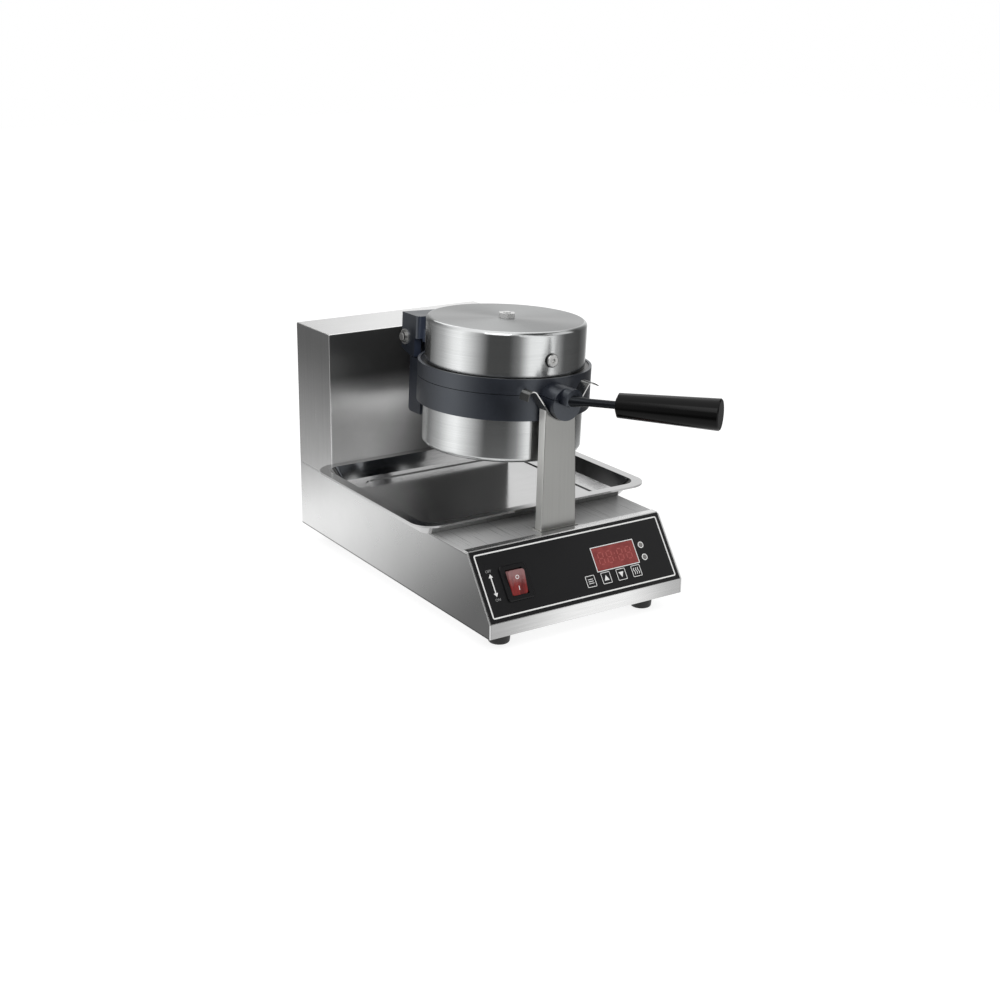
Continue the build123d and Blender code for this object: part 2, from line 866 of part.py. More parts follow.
with BuildPart() as switch_housing:
    with BuildSketch(switch_plane.offset(overlay_thickness)):
        RectangleRounded(bezel_width, bezel_tall, bezel_radius)
    extrude(amount=bezel_thickness)
    bezel_rim = switch_housing.faces().sort_by(slope_out)[-1].edges()
    chamfer(bezel_rim, bezel_chamfer)
    with BuildSketch(switch_plane.offset(overlay_thickness)):
        Rectangle(switch_body_width, switch_body_tall)
    extrude(amount=-switch_body_depth - overlay_thickness)
    with BuildSketch(switch_plane.offset(overlay_thickness + bezel_thickness)):
        Rectangle(pocket_width, pocket_tall)
    extrude(amount=-switch_pocket_depth - overlay_thickness - bezel_thickness, mode=Mode.SUBTRACT)
    with BuildSketch(rocker_plane):
        Circle(trunnion_radius + trunnion_gap)
    extrude(amount=rocker_width / 2 + trunnion_length + rocker_side_gap, both=True, mode=Mode.SUBTRACT)
    with BuildSketch(switch_plane.offset(-switch_body_depth)):
        with GridLocations(2 * blade_side, blade_step, 2, 2):
            Rectangle(blade_thickness, blade_width)
    extrude(amount=-blade_length)
save(switch_housing, "switch_housing")

with BuildPart() as power_rocker:
    with BuildSketch(rocker_plane):
        Circle(rocker_reach)
        with Locations((0, rocker_rise + rocker_reach)):
            Rectangle(2 * rocker_reach, 2 * rocker_reach, mode=Mode.SUBTRACT)
        with Locations((0, -rocker_drop - rocker_reach)):
            Rectangle(2 * rocker_reach, 2 * rocker_reach, mode=Mode.SUBTRACT)
    extrude(amount=rocker_width / 2, both=True)
    with BuildSketch(rocker_face_plane):
        RectangleRounded(rocker_width, rocker_length, rocker_corner)
    extrude(amount=rocker_reach, both=True, mode=Mode.INTERSECT)
    with BuildSketch(rocker_plane):
        Circle(trunnion_radius)
    extrude(amount=rocker_width / 2 + trunnion_length, both=True)
save(power_rocker, "power_rocker")

# Post with its foot, its bolts and the cradle strip that holds the front hub
post_bottom_z = cover_z + post_foot_thickness
cradle_inner = hub_radius + cradle_clearance
cradle_outer = cradle_inner + cradle_thickness
cradle_rad = radians(cradle_angle)
post_full_rise = axis_z + cradle_bend_rise - post_bottom_z
notch_foot_x = cradle_outer * sin(cradle_rad)
notch_foot_z = axis_z - cradle_outer * cos(cradle_rad)
notch_top_z = axis_z + 2 * hub_radius
notch_top_x = notch_foot_x + (notch_top_z - notch_foot_z) / tan(cradle_rad)
post_full_width = post_width - (post_width - post_top_width) * post_full_rise / post_rise

with BuildPart() as post_foot:
    with BuildSketch(Plane.XY.offset(cover_z)):
        with Locations((0, post_centre_y)):
            Rectangle(post_width + 2 * post_foot_margin, post_depth + 2 * post_foot_margin)
        with Locations(post_bolt_spots):
            Circle(post_bolt_radius, mode=Mode.SUBTRACT)
    extrude(amount=post_foot_thickness)
save(post_foot, "post_foot")

with BuildPart() as post_bolts:
    with BuildSketch(Plane.XY.offset(cover_z - sheet)):
        with Locations(post_bolt_spots):
            Circle(post_bolt_radius)
    extrude(amount=sheet + post_foot_thickness)
    with BuildSketch(Plane.XY.offset(cover_z - sheet)):
        with Locations(post_bolt_spots):
            RegularPolygon(post_bolt_head_radius, 6)
    extrude(amount=-post_bolt_head_height)
save(post_bolts, "post_bolts")


def post_section(width, depth, height):
    """Rectangle of the post at a height."""
    with BuildSketch(Plane(origin=(0, post_centre_y, height))) as section:
        Rectangle(width, depth)
    return section.sketch.faces()[0]


with BuildPart() as post:
    post_lower = post_section(post_width, post_depth, post_bottom_z)
    post_upper = post_section(post_full_width, post_depth, post_bottom_z + post_full_rise)
    loft([post_lower, post_upper])
    fillet(post.edges().filter_by(lambda edge: edge.length > post_rise / 2), post_edge_radius)
    core_lower = post_section(post_width - 2 * post_wall, post_depth - 2 * post_wall, post_bottom_z)
    core_upper = post_section(
        post_full_width - 2 * post_wall, post_depth - 2 * post_wall, post_bottom_z + post_full_rise
    )
    loft([core_lower, core_upper], mode=Mode.SUBTRACT)
    # Notch that follows the underside of the cradle strip
    with BuildSketch(facing(post_y - post_depth)):
        with BuildLine():
            Line((notch_top_x, notch_top_z), (notch_foot_x, notch_foot_z))
            CenterArc((0, axis_z), cradle_outer, -90 + cradle_angle, -2 * cradle_angle)
            Line((-notch_foot_x, notch_foot_z), (-notch_top_x, notch_top_z))
            Line((-notch_top_x, notch_top_z), (notch_top_x, notch_top_z))
        make_face()
    extrude(amount=-3 * post_depth, mode=Mode.SUBTRACT)
save(post, "post")

# Cradle strip: an arc under the hub, two straight wings, a hump and a turned-down end each side
cradle_mid = cradle_inner + cradle_thickness / 2
wing_foot_x = cradle_mid * sin(cradle_rad)
wing_foot_z = axis_z - cradle_mid * cos(cradle_rad)
hump_z = axis_z + cradle_bend_rise
hump_start_z = hump_z + cradle_bend_radius * cos(cradle_rad)
hump_start_x = wing_foot_x + (hump_start_z - wing_foot_z) / tan(cradle_rad)
hump_x = hump_start_x + cradle_bend_radius * sin(cradle_rad)
cradle_front_y = post_y + post_depth - cradle_width


def cradle_end(side, turn, length):
    """Start and tip of a turned-down end, for side -1, the left, or 1, the right."""
    angle = radians(90 - turn)
    start_x = hump_x + cradle_bend_radius * cos(angle)
    start_z = hump_z + cradle_bend_radius * sin(angle)
    tip_x = start_x + length * sin(angle)
    tip_z = start_z - length * cos(angle)
    return (side * start_x, start_z), (side * tip_x, tip_z)


left_start, left_tip = cradle_end(-1, cradle_left_turn, cradle_left_length)
right_start, right_tip = cradle_end(1, cradle_right_turn, cradle_right_length)
left_bend_turn = cradle_angle + cradle_left_turn
right_bend_turn = cradle_angle + cradle_right_turn

with BuildPart() as iron_cradle:
    with BuildSketch(facing(cradle_front_y)):
        with BuildLine():
            Line(left_tip, left_start)
            CenterArc((-hump_x, hump_z), cradle_bend_radius, 90 + cradle_left_turn, -left_bend_turn)
            Line((-hump_start_x, hump_start_z), (-wing_foot_x, wing_foot_z))
            CenterArc((0, axis_z), cradle_mid, 270 - cradle_angle, 2 * cradle_angle)
            Line((wing_foot_x, wing_foot_z), (hump_start_x, hump_start_z))
            CenterArc((hump_x, hump_z), cradle_bend_radius, 90 + cradle_angle, -right_bend_turn)
            Line(right_start, right_tip)
        trace(line_width=cradle_thickness)
    extrude(amount=-cradle_width)
save(iron_cradle, "iron_cradle")

# Tower bearing: housing, bush and screws on the inside of the tower's front
bearing_y = tower_y + sheet
bearing_rear_y = bearing_y + bearing_depth
bush_radius = shaft_radius + bush_gap + bush_wall

with BuildPart() as bearing_housing:
    with BuildSketch(facing(bearing_y)):
        with Locations((0, axis_z)):
            RectangleRounded(bearing_width, bearing_tall, bearing_corner)
            Circle(bush_radius, mode=Mode.SUBTRACT)
    extrude(amount=-bearing_depth)
    with BuildSketch(facing(bearing_y)):
        with Locations(bearing_screw_spots):
            Circle(bearing_screw_radius)
    extrude(amount=-bearing_screw_reach, mode=Mode.SUBTRACT)
save(bearing_housing, "bearing_housing")

with BuildPart() as bearing_bush:
    with BuildSketch(facing(bearing_y)):
        with Locations((0, axis_z)):
            Circle(bush_radius)
            Circle(shaft_radius + bush_gap, mode=Mode.SUBTRACT)
    extrude(amount=-bearing_depth)
save(bearing_bush, "bearing_bush")

with BuildPart() as bearing_screws:
    with BuildSketch(facing(tower_y)):
        with Locations(bearing_screw_spots):
            Circle(bearing_screw_head_radius)
    extrude(amount=bearing_screw_head_height)
    bearing_head_edges = bearing_screws.edges().filter_by(GeomType.CIRCLE).group_by(Axis.Y)[0]
    fillet(bearing_head_edges, bearing_screw_head_height / 2)
    with BuildSketch(facing(tower_y)):
        with Locations(bearing_screw_spots):
            Circle(bearing_screw_radius)
    extrude(amount=-sheet - bearing_screw_reach)
save(bearing_screws, "bearing_screws")

# Stops that the collar's arm meets after half a turn each way
collar_front_y = bearing_rear_y + collar_gap
stop_offset = stop_arm_thickness / 2 + stop_pin_radius + stop_gap
with BuildPart() as turn_stops:
    with BuildSketch(facing(bearing_rear_y)):
        with Locations((-stop_pin_circle, -stop_offset), (stop_pin_circle, -stop_offset)):
            Circle(stop_pin_radius)
    extrude(amount=-(collar_gap + collar_width))
save(turn_stops, "turn_stops", iron_place)

# Power parts on the bottom plate
with BuildPart() as transformer:
    with BuildSketch(Plane.XY.offset(floor_z)):
        with Locations((transformer_x, transformer_y)):
            Rectangle(core_width, core_depth)
    extrude(amount=core_height)
    with BuildSketch(Plane.XY.offset(floor_z + coil_lift)):
        with Locations((transformer_x, transformer_y)):
            RectangleRounded(coil_width, coil_depth, coil_corner)
    extrude(amount=coil_height)
save(transformer, "transformer")

with BuildPart() as power_relay:
    with BuildSketch(Plane.XY.offset(floor_z)):
        with Locations((relay_x, transformer_y)):
            Rectangle(relay_width, relay_depth)
    extrude(amount=relay_height)
    fillet(power_relay.edges().filter_by(Axis.Z), relay_corner)
save(power_relay, "power_relay")

terminal_pitch = terminal_width / terminal_ways
with BuildPart() as terminal_block:
    with BuildSketch(Plane.XY.offset(floor_z)):
        with Locations((terminal_x, terminal_y)):
            Rectangle(terminal_width, terminal_depth)
    extrude(amount=terminal_height)
    with BuildSketch(Plane.XY.offset(floor_z + terminal_height)):
        with Locations((terminal_x, terminal_y)):
            with GridLocations(terminal_pitch, 0, terminal_ways - 1, 1):
                Rectangle(terminal_slot_width, terminal_depth)
    extrude(amount=-terminal_slot_depth, mode=Mode.SUBTRACT)
save(terminal_block, "terminal_block")

# Cord gland in the rear cover
with BuildPart() as cord_gland:
    with BuildSketch(facing(rear_y)):
        with Locations(gland_spot):
            RegularPolygon(gland_hex_radius, 6)
    extrude(amount=-gland_hex_length)
    with BuildSketch(facing(rear_y + gland_hex_length)):
        with Locations(gland_spot):
            Circle(gland_nose_radius)
    extrude(amount=-gland_nose_length)
    fillet(cord_gland.edges().filter_by(GeomType.CIRCLE).group_by(Axis.Y)[-1], gland_nose_round)
    with BuildSketch(facing(rear_y)):
        with Locations(gland_spot):
            Circle(gland_thread_radius)
    extrude(amount=gland_thread_length)
    with BuildSketch(facing(rear_y + rear_reach)):
        with Locations(gland_spot):
            Circle(gland_bore_radius)
    extrude(amount=2 * rear_reach, mode=Mode.SUBTRACT)
save(cord_gland, "cord_gland")

# Drip tray
tray_bottom = cover_z + tray_lift
tray_rim_z = tray_bottom + tray_rim_height
tray_rear_y = tower_y - tray_tower_gap
tray_front_y = front_y + tray_front_setback
tray_length = tray_rear_y - tray_front_y
tray_y = (tray_front_y + tray_rear_y) / 2
tray_floor_length = tray_length - tray_floor_front - tray_floor_rear
tray_floor_y = tray_front_y + tray_floor_front + tray_floor_length / 2
tray_mouth_width = 2 * (tray_half_width - tray_rim_width)
tray_mouth_length = tray_length - 2 * tray_rim_width
tray_outer_mouth_width = tray_mouth_width + 2 * tray_sheet
tray_outer_mouth_length = tray_mouth_length + 2 * tray_sheet


def tray_outline(width, length, corner, y, height):
    """Rounded rectangle of the tray at a height."""
    with BuildSketch(Plane(origin=(0, y, height))) as outline:
        RectangleRounded(width, length, corner)
    return outline.sketch.faces()[0]


with BuildPart() as drip_tray:
    tray_floor_width = 2 * tray_floor_half_width
    outer_floor = tray_outline(
        tray_floor_width, tray_floor_length, tray_floor_corner, tray_floor_y, tray_bottom
    )
    outer_mouth = tray_outline(
        tray_outer_mouth_width, tray_outer_mouth_length, tray_inner_corner, tray_y, tray_rim_z
    )
    loft([outer_floor, outer_mouth])
    with BuildSketch(Plane(origin=(0, tray_y, tray_rim_z))):
        RectangleRounded(2 * tray_half_width, tray_length, tray_corner_radius)
    extrude(amount=-tray_sheet)
    with BuildSketch(Plane(origin=(0, tray_y, tray_rim_z))):
        RectangleRounded(2 * tray_half_width, tray_length, tray_corner_radius)
        RectangleRounded(
            2 * (tray_half_width - tray_sheet),
            tray_length - 2 * tray_sheet,
            tray_corner_radius - tray_sheet,
            mode=Mode.SUBTRACT,
        )
    extrude(amount=-tray_edge_drop)
    inner_floor = tray_outline(
        tray_floor_width - tray_sheet,
        tray_floor_length - tray_sheet,
        tray_floor_corner,
        tray_floor_y,
        tray_bottom + tray_sheet + tray_panel_sink,
    )
    inner_mouth = tray_outline(
        tray_mouth_width, tray_mouth_length, tray_inner_corner, tray_y, tray_rim_z
    )
    loft([inner_floor, inner_mouth], mode=Mode.SUBTRACT)
    with BuildSketch(Plane(origin=(0, tray_floor_y, tray_bottom + tray_sheet))):
        RectangleRounded(
            2 * tray_panel_half_width, tray_floor_length - tray_panel_inset, tray_panel_corner
        )
    extrude(amount=2 * tray_panel_sink, mode=Mode.SUBTRACT)
save(drip_tray, "drip_tray")


# Iron halves. A half is made for side +1, the lid, or -1, the lower half.
def ring_shell(parting, far):
    """Cast ring's body before its inside is opened."""
    with BuildSketch(iron_level(parting)) as disc:
        Circle(ring_radius)
    extrude(disc.sketch, amount=far - parting)


def open_ring(side, parting):
    """Opens the ring's bore, then adds the shelf for the plate and the tab for the side screw."""
    with BuildSketch(iron_level(-ring_radius)) as bore:
        Circle(ring_bore)
    extrude(bore.sketch, amount=2 * ring_radius, mode=Mode.SUBTRACT)
    with BuildSketch(iron_level(parting + side * shelf_depth)) as shelf:
        Circle(ring_bore + ring_wall / 2)
        Circle(shelf_inner_radius, mode=Mode.SUBTRACT)
        with PolarLocations(plate_screw_circle, plate_screw_count, start_angle=45):
            Circle(plate_screw_radius, mode=Mode.SUBTRACT)
    extrude(shelf.sketch, amount=side * shelf_thickness)
    tab_foot = parting + side * (shelf_depth + shelf_thickness)
    tab_tip = side * (side_screw_rise + side_tab_margin)
    tab_y = ring_y - tab_face_radius + side_tab_thickness / 2
    with BuildSketch(Plane(origin=(0, tab_y, tab_foot))) as tab:
        Rectangle(side_tab_width, side_tab_thickness)
    extrude(tab.sketch, amount=tab_tip - tab_foot)
    with BuildSketch(facing(ring_y)) as tab_hole:
        with Locations((0, side * side_screw_rise)):
            Circle(side_screw_radius)
    extrude(tab_hole.sketch, amount=ring_radius, mode=Mode.SUBTRACT)


def hub_half(side, parting, hub_face_y):
    """Half of the round front hub, on this side of the parting plane."""
    hub_reach = ring_y - ring_radius + hub_root_sink - hub_face_y
    with BuildSketch(facing(hub_face_y)) as hub:
        Circle(hub_radius)
        with Locations((0, parting - side * hub_radius)):
            Rectangle(2 * hub_radius, 2 * hub_radius, mode=Mode.SUBTRACT)
    extrude(hub.sketch, amount=-hub_reach)


def bubble_plate(side, parting):
    """Cast plate with its pan and bubbles, face at the parting plane."""
    reach = int(bubble_field_radius // bubble_pitch) + 1
    row_step = bubble_pitch * sqrt(3) / 2
    spots = []
    for row in range(-reach, reach + 1):
        for column in range(-2 * reach, 2 * reach + 1):
            x = bubble_pitch * (column + (row % 2) / 2)
            y = row * row_step
            if hypot(x, y) <= bubble_field_radius:
                spots.append((x, y))
    with BuildPart() as plate:
        with BuildSketch(iron_level(parting)):
            Circle(ring_bore - plate_rim_gap)
        extrude(amount=side * plate_rim_thickness)
        with BuildSketch(iron_level(parting)):
            Circle(plate_boss_radius)
        extrude(amount=side * plate_thickness)
        with BuildSketch(iron_level(parting)):
            Circle(pan_radius)
        extrude(amount=side * pan_depth, mode=Mode.SUBTRACT)
        with BuildSketch(iron_level(parting + side * plate_rim_thickness)):
            with PolarLocations(plate_screw_circle, plate_screw_count, start_angle=45):
                Circle(plate_screw_radius)
        extrude(amount=-side * plate_rim_thickness / 2, mode=Mode.SUBTRACT)
        for spot in spots:
            with Locations((spot[0], ring_y + spot[1], parting + side * pan_depth)):
                Sphere(bubble_radius, mode=Mode.SUBTRACT)
    return plate


def plate_screws(side, parting):
    """Screws that pull the plate's rim against the shelf."""
    shelf_far = parting + side * (shelf_depth + shelf_thickness)
    with BuildPart() as screws:
        with BuildSketch(iron_level(shelf_far)):
            with PolarLocations(plate_screw_circle, plate_screw_count, start_angle=45):
                Circle(plate_screw_radius)
        extrude(amount=-side * (shelf_thickness + shelf_depth - plate_rim_thickness / 2))
        with BuildSketch(iron_level(shelf_far)):
            with PolarLocations(plate_screw_circle, plate_screw_count, start_angle=45):
                Circle(plate_screw_head_radius)
        extrude(amount=side * plate_screw_head_height)
    return screws


def drum(side, parting, far, ring_edge):
    """Spun cover with a rounded edge, a flange that closes the ring, and holes for its two screws."""
    foot = parting + side * (shelf_depth + shelf_thickness)
    with BuildPart() as cover:
        with BuildSketch(iron_level(foot)):
            Circle(drum_radius)
        extrude(amount=far - foot)
        fillet(cover.faces().sort_by(Axis.Z)[-1 if side > 0 else 0].edges(), drum_edge_radius)
        inner_faces = drum_core(side, foot, far)
        add(inner_faces, mode=Mode.SUBTRACT)
        with BuildSketch(iron_level(ring_edge - side * drum_flange_sink)):
            Circle(ring_bore - plate_rim_gap)
            Circle(drum_radius - drum_wall, mode=Mode.SUBTRACT)
        extrude(amount=-side * drum_wall)
        with BuildSketch(iron_level(far)):
            Circle(centre_bolt_radius + bolt_hole_gap)
        extrude(amount=-2 * side * drum_wall, mode=Mode.SUBTRACT)
        with BuildSketch(facing(ring_y - drum_radius / 2)):
            with Locations((0, side * side_screw_rise)):
                Circle(side_screw_radius)
        extrude(amount=drum_radius, mode=Mode.SUBTRACT)
    return cover


def drum_core(side, foot, far):
    """The space inside a drum."""
    with BuildPart(mode=Mode.PRIVATE) as core:
        with BuildSketch(iron_level(foot)):
            Circle(drum_radius - drum_wall)
        extrude(amount=far - side * drum_wall - foot)
        fillet(
            core.faces().sort_by(Axis.Z)[-1 if side > 0 else 0].edges(), drum_edge_radius - drum_wall
        )
    return core.part


def heater(side, parting):
    """Ring heater that lies on the back of the plate, with two upright ends."""
    height = parting + side * (plate_thickness + heater_tube_radius)
    with BuildPart() as element:
        with BuildSketch(Plane(origin=(0, ring_y, height), x_dir=(1, 0, 0), z_dir=(0, -1, 0))):
            with Locations((heater_radius, 0)):
                Circle(heater_tube_radius)
        revolve(axis=Axis((0, ring_y, height), (0, 0, 1)), revolution_arc=heater_arc)
        for angle in (0, heater_arc):
            spot_x = heater_radius * cos(radians(angle))
            spot_y = ring_y + heater_radius * sin(radians(angle))
            with BuildSketch(Plane(origin=(spot_x, spot_y, height))):
                Circle(heater_pin_radius)
            extrude(amount=side * heater_pin_length)
    return element


def insulation(side, parting, far):
    """Mineral-fibre disc between the heater and the drum."""
    near = parting + side * (plate_thickness + 2 * heater_tube_radius + insulation_gap)
    with BuildPart() as disc:
        with BuildSketch(iron_level(near)):
            Circle(insulation_radius)
            Circle(centre_bolt_radius + bolt_hole_gap, mode=Mode.SUBTRACT)
            for angle in (0, heater_arc):
                with Locations(
                    (heater_radius * cos(radians(angle)), heater_radius * sin(radians(angle)))
                ):
                    Circle(heater_tube_radius, mode=Mode.SUBTRACT)
        extrude(amount=far - side * (drum_wall + insulation_gap) - near)
    return disc


def centre_bolt(side, parting, far):
    """Stud from the plate through the drum, with its nut."""
    near = parting + side * plate_thickness
    with BuildPart() as bolt:
        with BuildSketch(iron_level(near)):
            Circle(centre_bolt_radius)
        extrude(amount=far + side * (centre_nut_height + centre_bolt_proud) - near)
        with BuildSketch(iron_level(far)):
            RegularPolygon(centre_nut_radius, 6)
        extrude(amount=side * centre_nut_height)
    return bolt


def side_screw(side):
    """Button-head screw with a hexagon socket in the front of a drum."""
    head_y = ring_y - drum_radius
    with BuildPart() as screw:
        with BuildSketch(facing(head_y)):
            with Locations((0, side * side_screw_rise)):
                Circle(side_screw_head_radius)
        extrude(amount=side_screw_head_height)
        fillet(screw.faces().sort_by(Axis.Y)[0].edges(), side_screw_head_round)
        with BuildSketch(facing(head_y - side_screw_head_height)):
            with Locations((0, side * side_screw_rise)):
                RegularPolygon(side_screw_socket_radius, 6)
        extrude(amount=-side_screw_socket_depth, mode=Mode.SUBTRACT)
        with BuildSketch(facing(head_y)):
            with Locations((0, side * side_screw_rise)):
                Circle(side_screw_radius)
        extrude(amount=-(drum_radius - tab_face_radius + side_tab_thickness))
    return screw


halves = (
    ("upper", 1, upper_parting, upper_drum_top, upper_ring_top),
    ("lower", -1, lower_parting, lower_drum_bottom, lower_ring_bottom),
)
for half, side, parting, far, ring_edge in halves:
    save(bubble_plate(side, parting), f"{half}_bubble_plate", iron_place)
    save(plate_screws(side, parting), f"{half}_plate_screws", iron_place)
    save(drum(side, parting, far, ring_edge), f"{half}_drum", iron_place)
    save(heater(side, parting), f"{half}_heater", iron_place)
    save(insulation(side, parting, far), f"{half}_insulation", iron_place)
    save(centre_bolt(side, parting, far), f"{half}_centre_bolt", iron_place)
    save(side_screw(side), f"{half}_side_screw", iron_place)

# Lower ring casting: ring, lower half of the hub, hinge leg and knuckle
web_start_y = ring_y + ring_bore - 2 * ring_wall
with BuildPart() as lower_ring:
    ring_shell(lower_parting, lower_ring_bottom)
    hub_half(-1, lower_parting, hub_front_y + parting_gap)
    with BuildSketch(Plane.YZ):
        with BuildLine():
            Polyline(
                (web_start_y, lower_parting),
                (leg_front_y + leg_chamfer, lower_parting),
                (leg_front_y + leg_chamfer, lower_ring_bottom),
                (web_start_y, lower_ring_bottom),
                close=True,
            )
        make_face()
    extrude(amount=web_half_width, both=True)
    with BuildSketch(Plane.YZ):
        with BuildLine():
            Polyline(
                (leg_front_y, lower_parting),
                (leg_rear_y, lower_parting),
                (leg_rear_y, leg_bottom + leg_chamfer),
                (leg_rear_y - leg_chamfer, leg_bottom),
                (leg_front_y, leg_bottom),
                close=True,
            )
        make_face()
    extrude(amount=bracket_half_width, both=True)
    with BuildSketch(Plane.YZ):
        with Locations((pin_y, pin_height)):
            Circle(knuckle_radius)
        with Locations(((leg_front_y + leg_rear_y) / 2 + leg_chamfer, 0)):
            Rectangle(leg_rear_y - leg_front_y - 2 * leg_chamfer, 2 * lower_parting)
        make_hull()
    extrude(amount=knuckle_half_width, both=True)
    open_ring(-1, lower_parting)
    with BuildSketch(Plane.YZ):
        with Locations((pin_y, pin_height)):
            Circle(pin_radius + pin_gap)
    extrude(amount=bracket_half_width, both=True, mode=Mode.SUBTRACT)
    with BuildSketch(facing(leg_rear_y - shaft_seat)):
        Circle(shaft_radius)
    extrude(amount=-(pin_y + 2 * knuckle_radius - leg_rear_y + shaft_seat), mode=Mode.SUBTRACT)
save(lower_ring, "lower_ring", iron_place)

# Upper ring casting: ring, upper half of the hub, handle boss and hinge bracket
ear_inner = bracket_half_width - ear_thickness
with BuildPart() as upper_ring:
    ring_shell(upper_parting, upper_ring_top)
    hub_half(1, upper_parting, hub_front_y)
    with BuildSketch(facing(boss_y)):
        with Locations((0, boss_top - boss_half_width)):
            Circle(boss_half_width)
        with Locations((0, (boss_bottom + boss_top - boss_half_width) / 2)):
            Rectangle(2 * boss_half_width, boss_top - boss_half_width - boss_bottom)
    extrude(amount=-(hub_front_y - boss_y))
    with BuildSketch(Plane.YZ):
        with BuildLine():
            Polyline(
                (web_start_y, upper_parting),
                (ring_y + ring_radius + ring_wall / 2, upper_parting),
                (bracket_front_y + bracket_wall / 2, arch_top),
                (bracket_front_y + bracket_wall / 2, web_top),
                (ring_y + ring_radius, upper_ring_top),
                (web_start_y, upper_ring_top),
                close=True,
            )
        make_face()
    extrude(amount=web_half_width, both=True)
    with BuildSketch(Plane.YZ):
        with BuildLine():
            Polyline(
                (bracket_front_y, bracket_top),
                (bracket_rear_y, bracket_top),
                (bracket_rear_y, bracket_rear_bottom),
                (leg_rear_y, upper_parting),
                (bracket_front_y, upper_parting),
                close=True,
            )
        make_face()
    extrude(amount=bracket_half_width, both=True)
    upright_edges = upper_ring.edges().filter_by(Axis.Z)
    front_corners = upright_edges.filter_by_position(
        Axis.Y, bracket_front_y - edge_tolerance, bracket_front_y + edge_tolerance
    )
    fillet(front_corners, bracket_corner)
    # Space for the knuckle, open below and behind
    with BuildSketch(Plane.YZ):
        with BuildLine():
            Polyline(
                (bracket_front_y + bracket_wall, bracket_top - bracket_roof),
                (bracket_rear_y + bracket_wall, bracket_top - bracket_roof),
                (bracket_rear_y + bracket_wall, 0),
                (bracket_front_y + bracket_wall, 0),
                close=True,
            )
        make_face()
    extrude(amount=ear_inner, both=True, mode=Mode.SUBTRACT)
    with BuildSketch(facing(bracket_front_y)):
        with Locations((0, (upper_parting + arch_top) / 2)):
            Rectangle(2 * bracket_half_width, arch_top - upper_parting)
    extrude(amount=-bracket_wall, mode=Mode.SUBTRACT)
    open_ring(1, upper_parting)
    with BuildSketch(Plane.YZ):
        with Locations((pin_y, pin_height)):
            Circle(pin_radius)
    extrude(amount=bracket_half_width, both=True, mode=Mode.SUBTRACT)
    with BuildSketch(handle_axis_plane.offset(rod_radius)):
        Circle(rod_radius)
    extrude(amount=-rod_root_depth - rod_radius, mode=Mode.SUBTRACT)
save(upper_ring, "upper_ring", iron_place)

# Hinge pin with a button head each end, and its washers and spacers
head_step = bracket_half_width + washer_thickness
with BuildPart() as hinge_pin:
    with BuildSketch(Plane.YZ):
        with Locations((pin_y, pin_height)):
            Circle(pin_radius)
    extrude(amount=head_step, both=True)
    for end in (-1, 1):
        with BuildSketch(Plane.YZ.offset(end * head_step)):
            with Locations((pin_y, pin_height)):
                Circle(pin_head_radius)
        extrude(amount=end * pin_head_height)
    pin_ends = hinge_pin.faces().sort_by(Axis.X)
    fillet(pin_ends[0].edges() + pin_ends[-1].edges(), pin_head_height / 2)
save(hinge_pin, "hinge_pin", iron_place)

with BuildPart() as hinge_washers:
    for end in (-1, 1):
        with BuildSketch(Plane.YZ.offset(end * bracket_half_width)):
            with Locations((pin_y, pin_height)):
                Circle(washer_radius)
                Circle(pin_radius, mode=Mode.SUBTRACT)
        extrude(amount=end * washer_thickness)
        with BuildSketch(Plane.YZ.offset(end * ear_inner)):
            with Locations((pin_y, pin_height)):
                Circle(spacer_ring_radius)
                Circle(pin_radius, mode=Mode.SUBTRACT)
        extrude(amount=-end * (ear_inner - knuckle_half_width - spacer_ring_gap))
save(hinge_washers, "hinge_washers", iron_place)

# Handle rod with its tapered shank, and the grip on it
root_slack = shank_root_radius * handle_square / (swing_cos * incline_cos)
with BuildPart() as handle_rod:
    with BuildSketch(handle_axis_plane.offset(-root_slack)):
        Circle(shank_root_radius)
    with BuildSketch(handle_axis_plane.offset(shank_length)):
        Circle(rod_radius)
    loft()
    # The boss's flat face cuts the root of the tilted shank
    with BuildSketch(facing(boss_y)):
        with Locations((0, handle_root_height)):
            Circle(3 * shank_root_radius)
    extrude(amount=-2 * shank_root_radius, mode=Mode.SUBTRACT)
    with BuildSketch(handle_axis_plane.offset(-rod_root_depth)):
        Circle(rod_radius)
    extrude(amount=rod_root_depth + grip_start + rod_in_grip)
save(handle_rod, "handle_rod", iron_place)

grip_axis = Axis(handle_root, handle_out)
grip_profile_plane = Plane(
    origin=handle_root,
    x_dir=handle_across,
    z_dir=(-swing_sin * incline_sin, swing_cos * incline_sin, incline_cos),
)
with BuildPart() as handle_grip:
    with BuildSketch(grip_profile_plane):
        with BuildLine():
            Polyline(
                (rod_radius, -grip_start),
                (grip_face_radius, -grip_start),
                (grip_near_radius, -grip_start - grip_near_chamfer),
                (grip_far_radius, -handle_length + grip_far_chamfer),
                (grip_end_radius, -handle_length),
                (0, -handle_length),
                (0, -grip_start - rod_in_grip),
                (rod_radius, -grip_start - rod_in_grip),
                close=True,
            )
        make_face()
    revolve(axis=grip_axis)
save(handle_grip, "handle_grip", iron_place)

# Rear shaft and the collar with its stop arm
with BuildPart() as rear_shaft:
    with BuildSketch(facing(leg_rear_y - shaft_seat)):
        Circle(shaft_radius)
        Circle(shaft_bore, mode=Mode.SUBTRACT)
    extrude(amount=-(shaft_end_y - leg_rear_y + shaft_seat))
save(rear_shaft, "rear_shaft", iron_place)

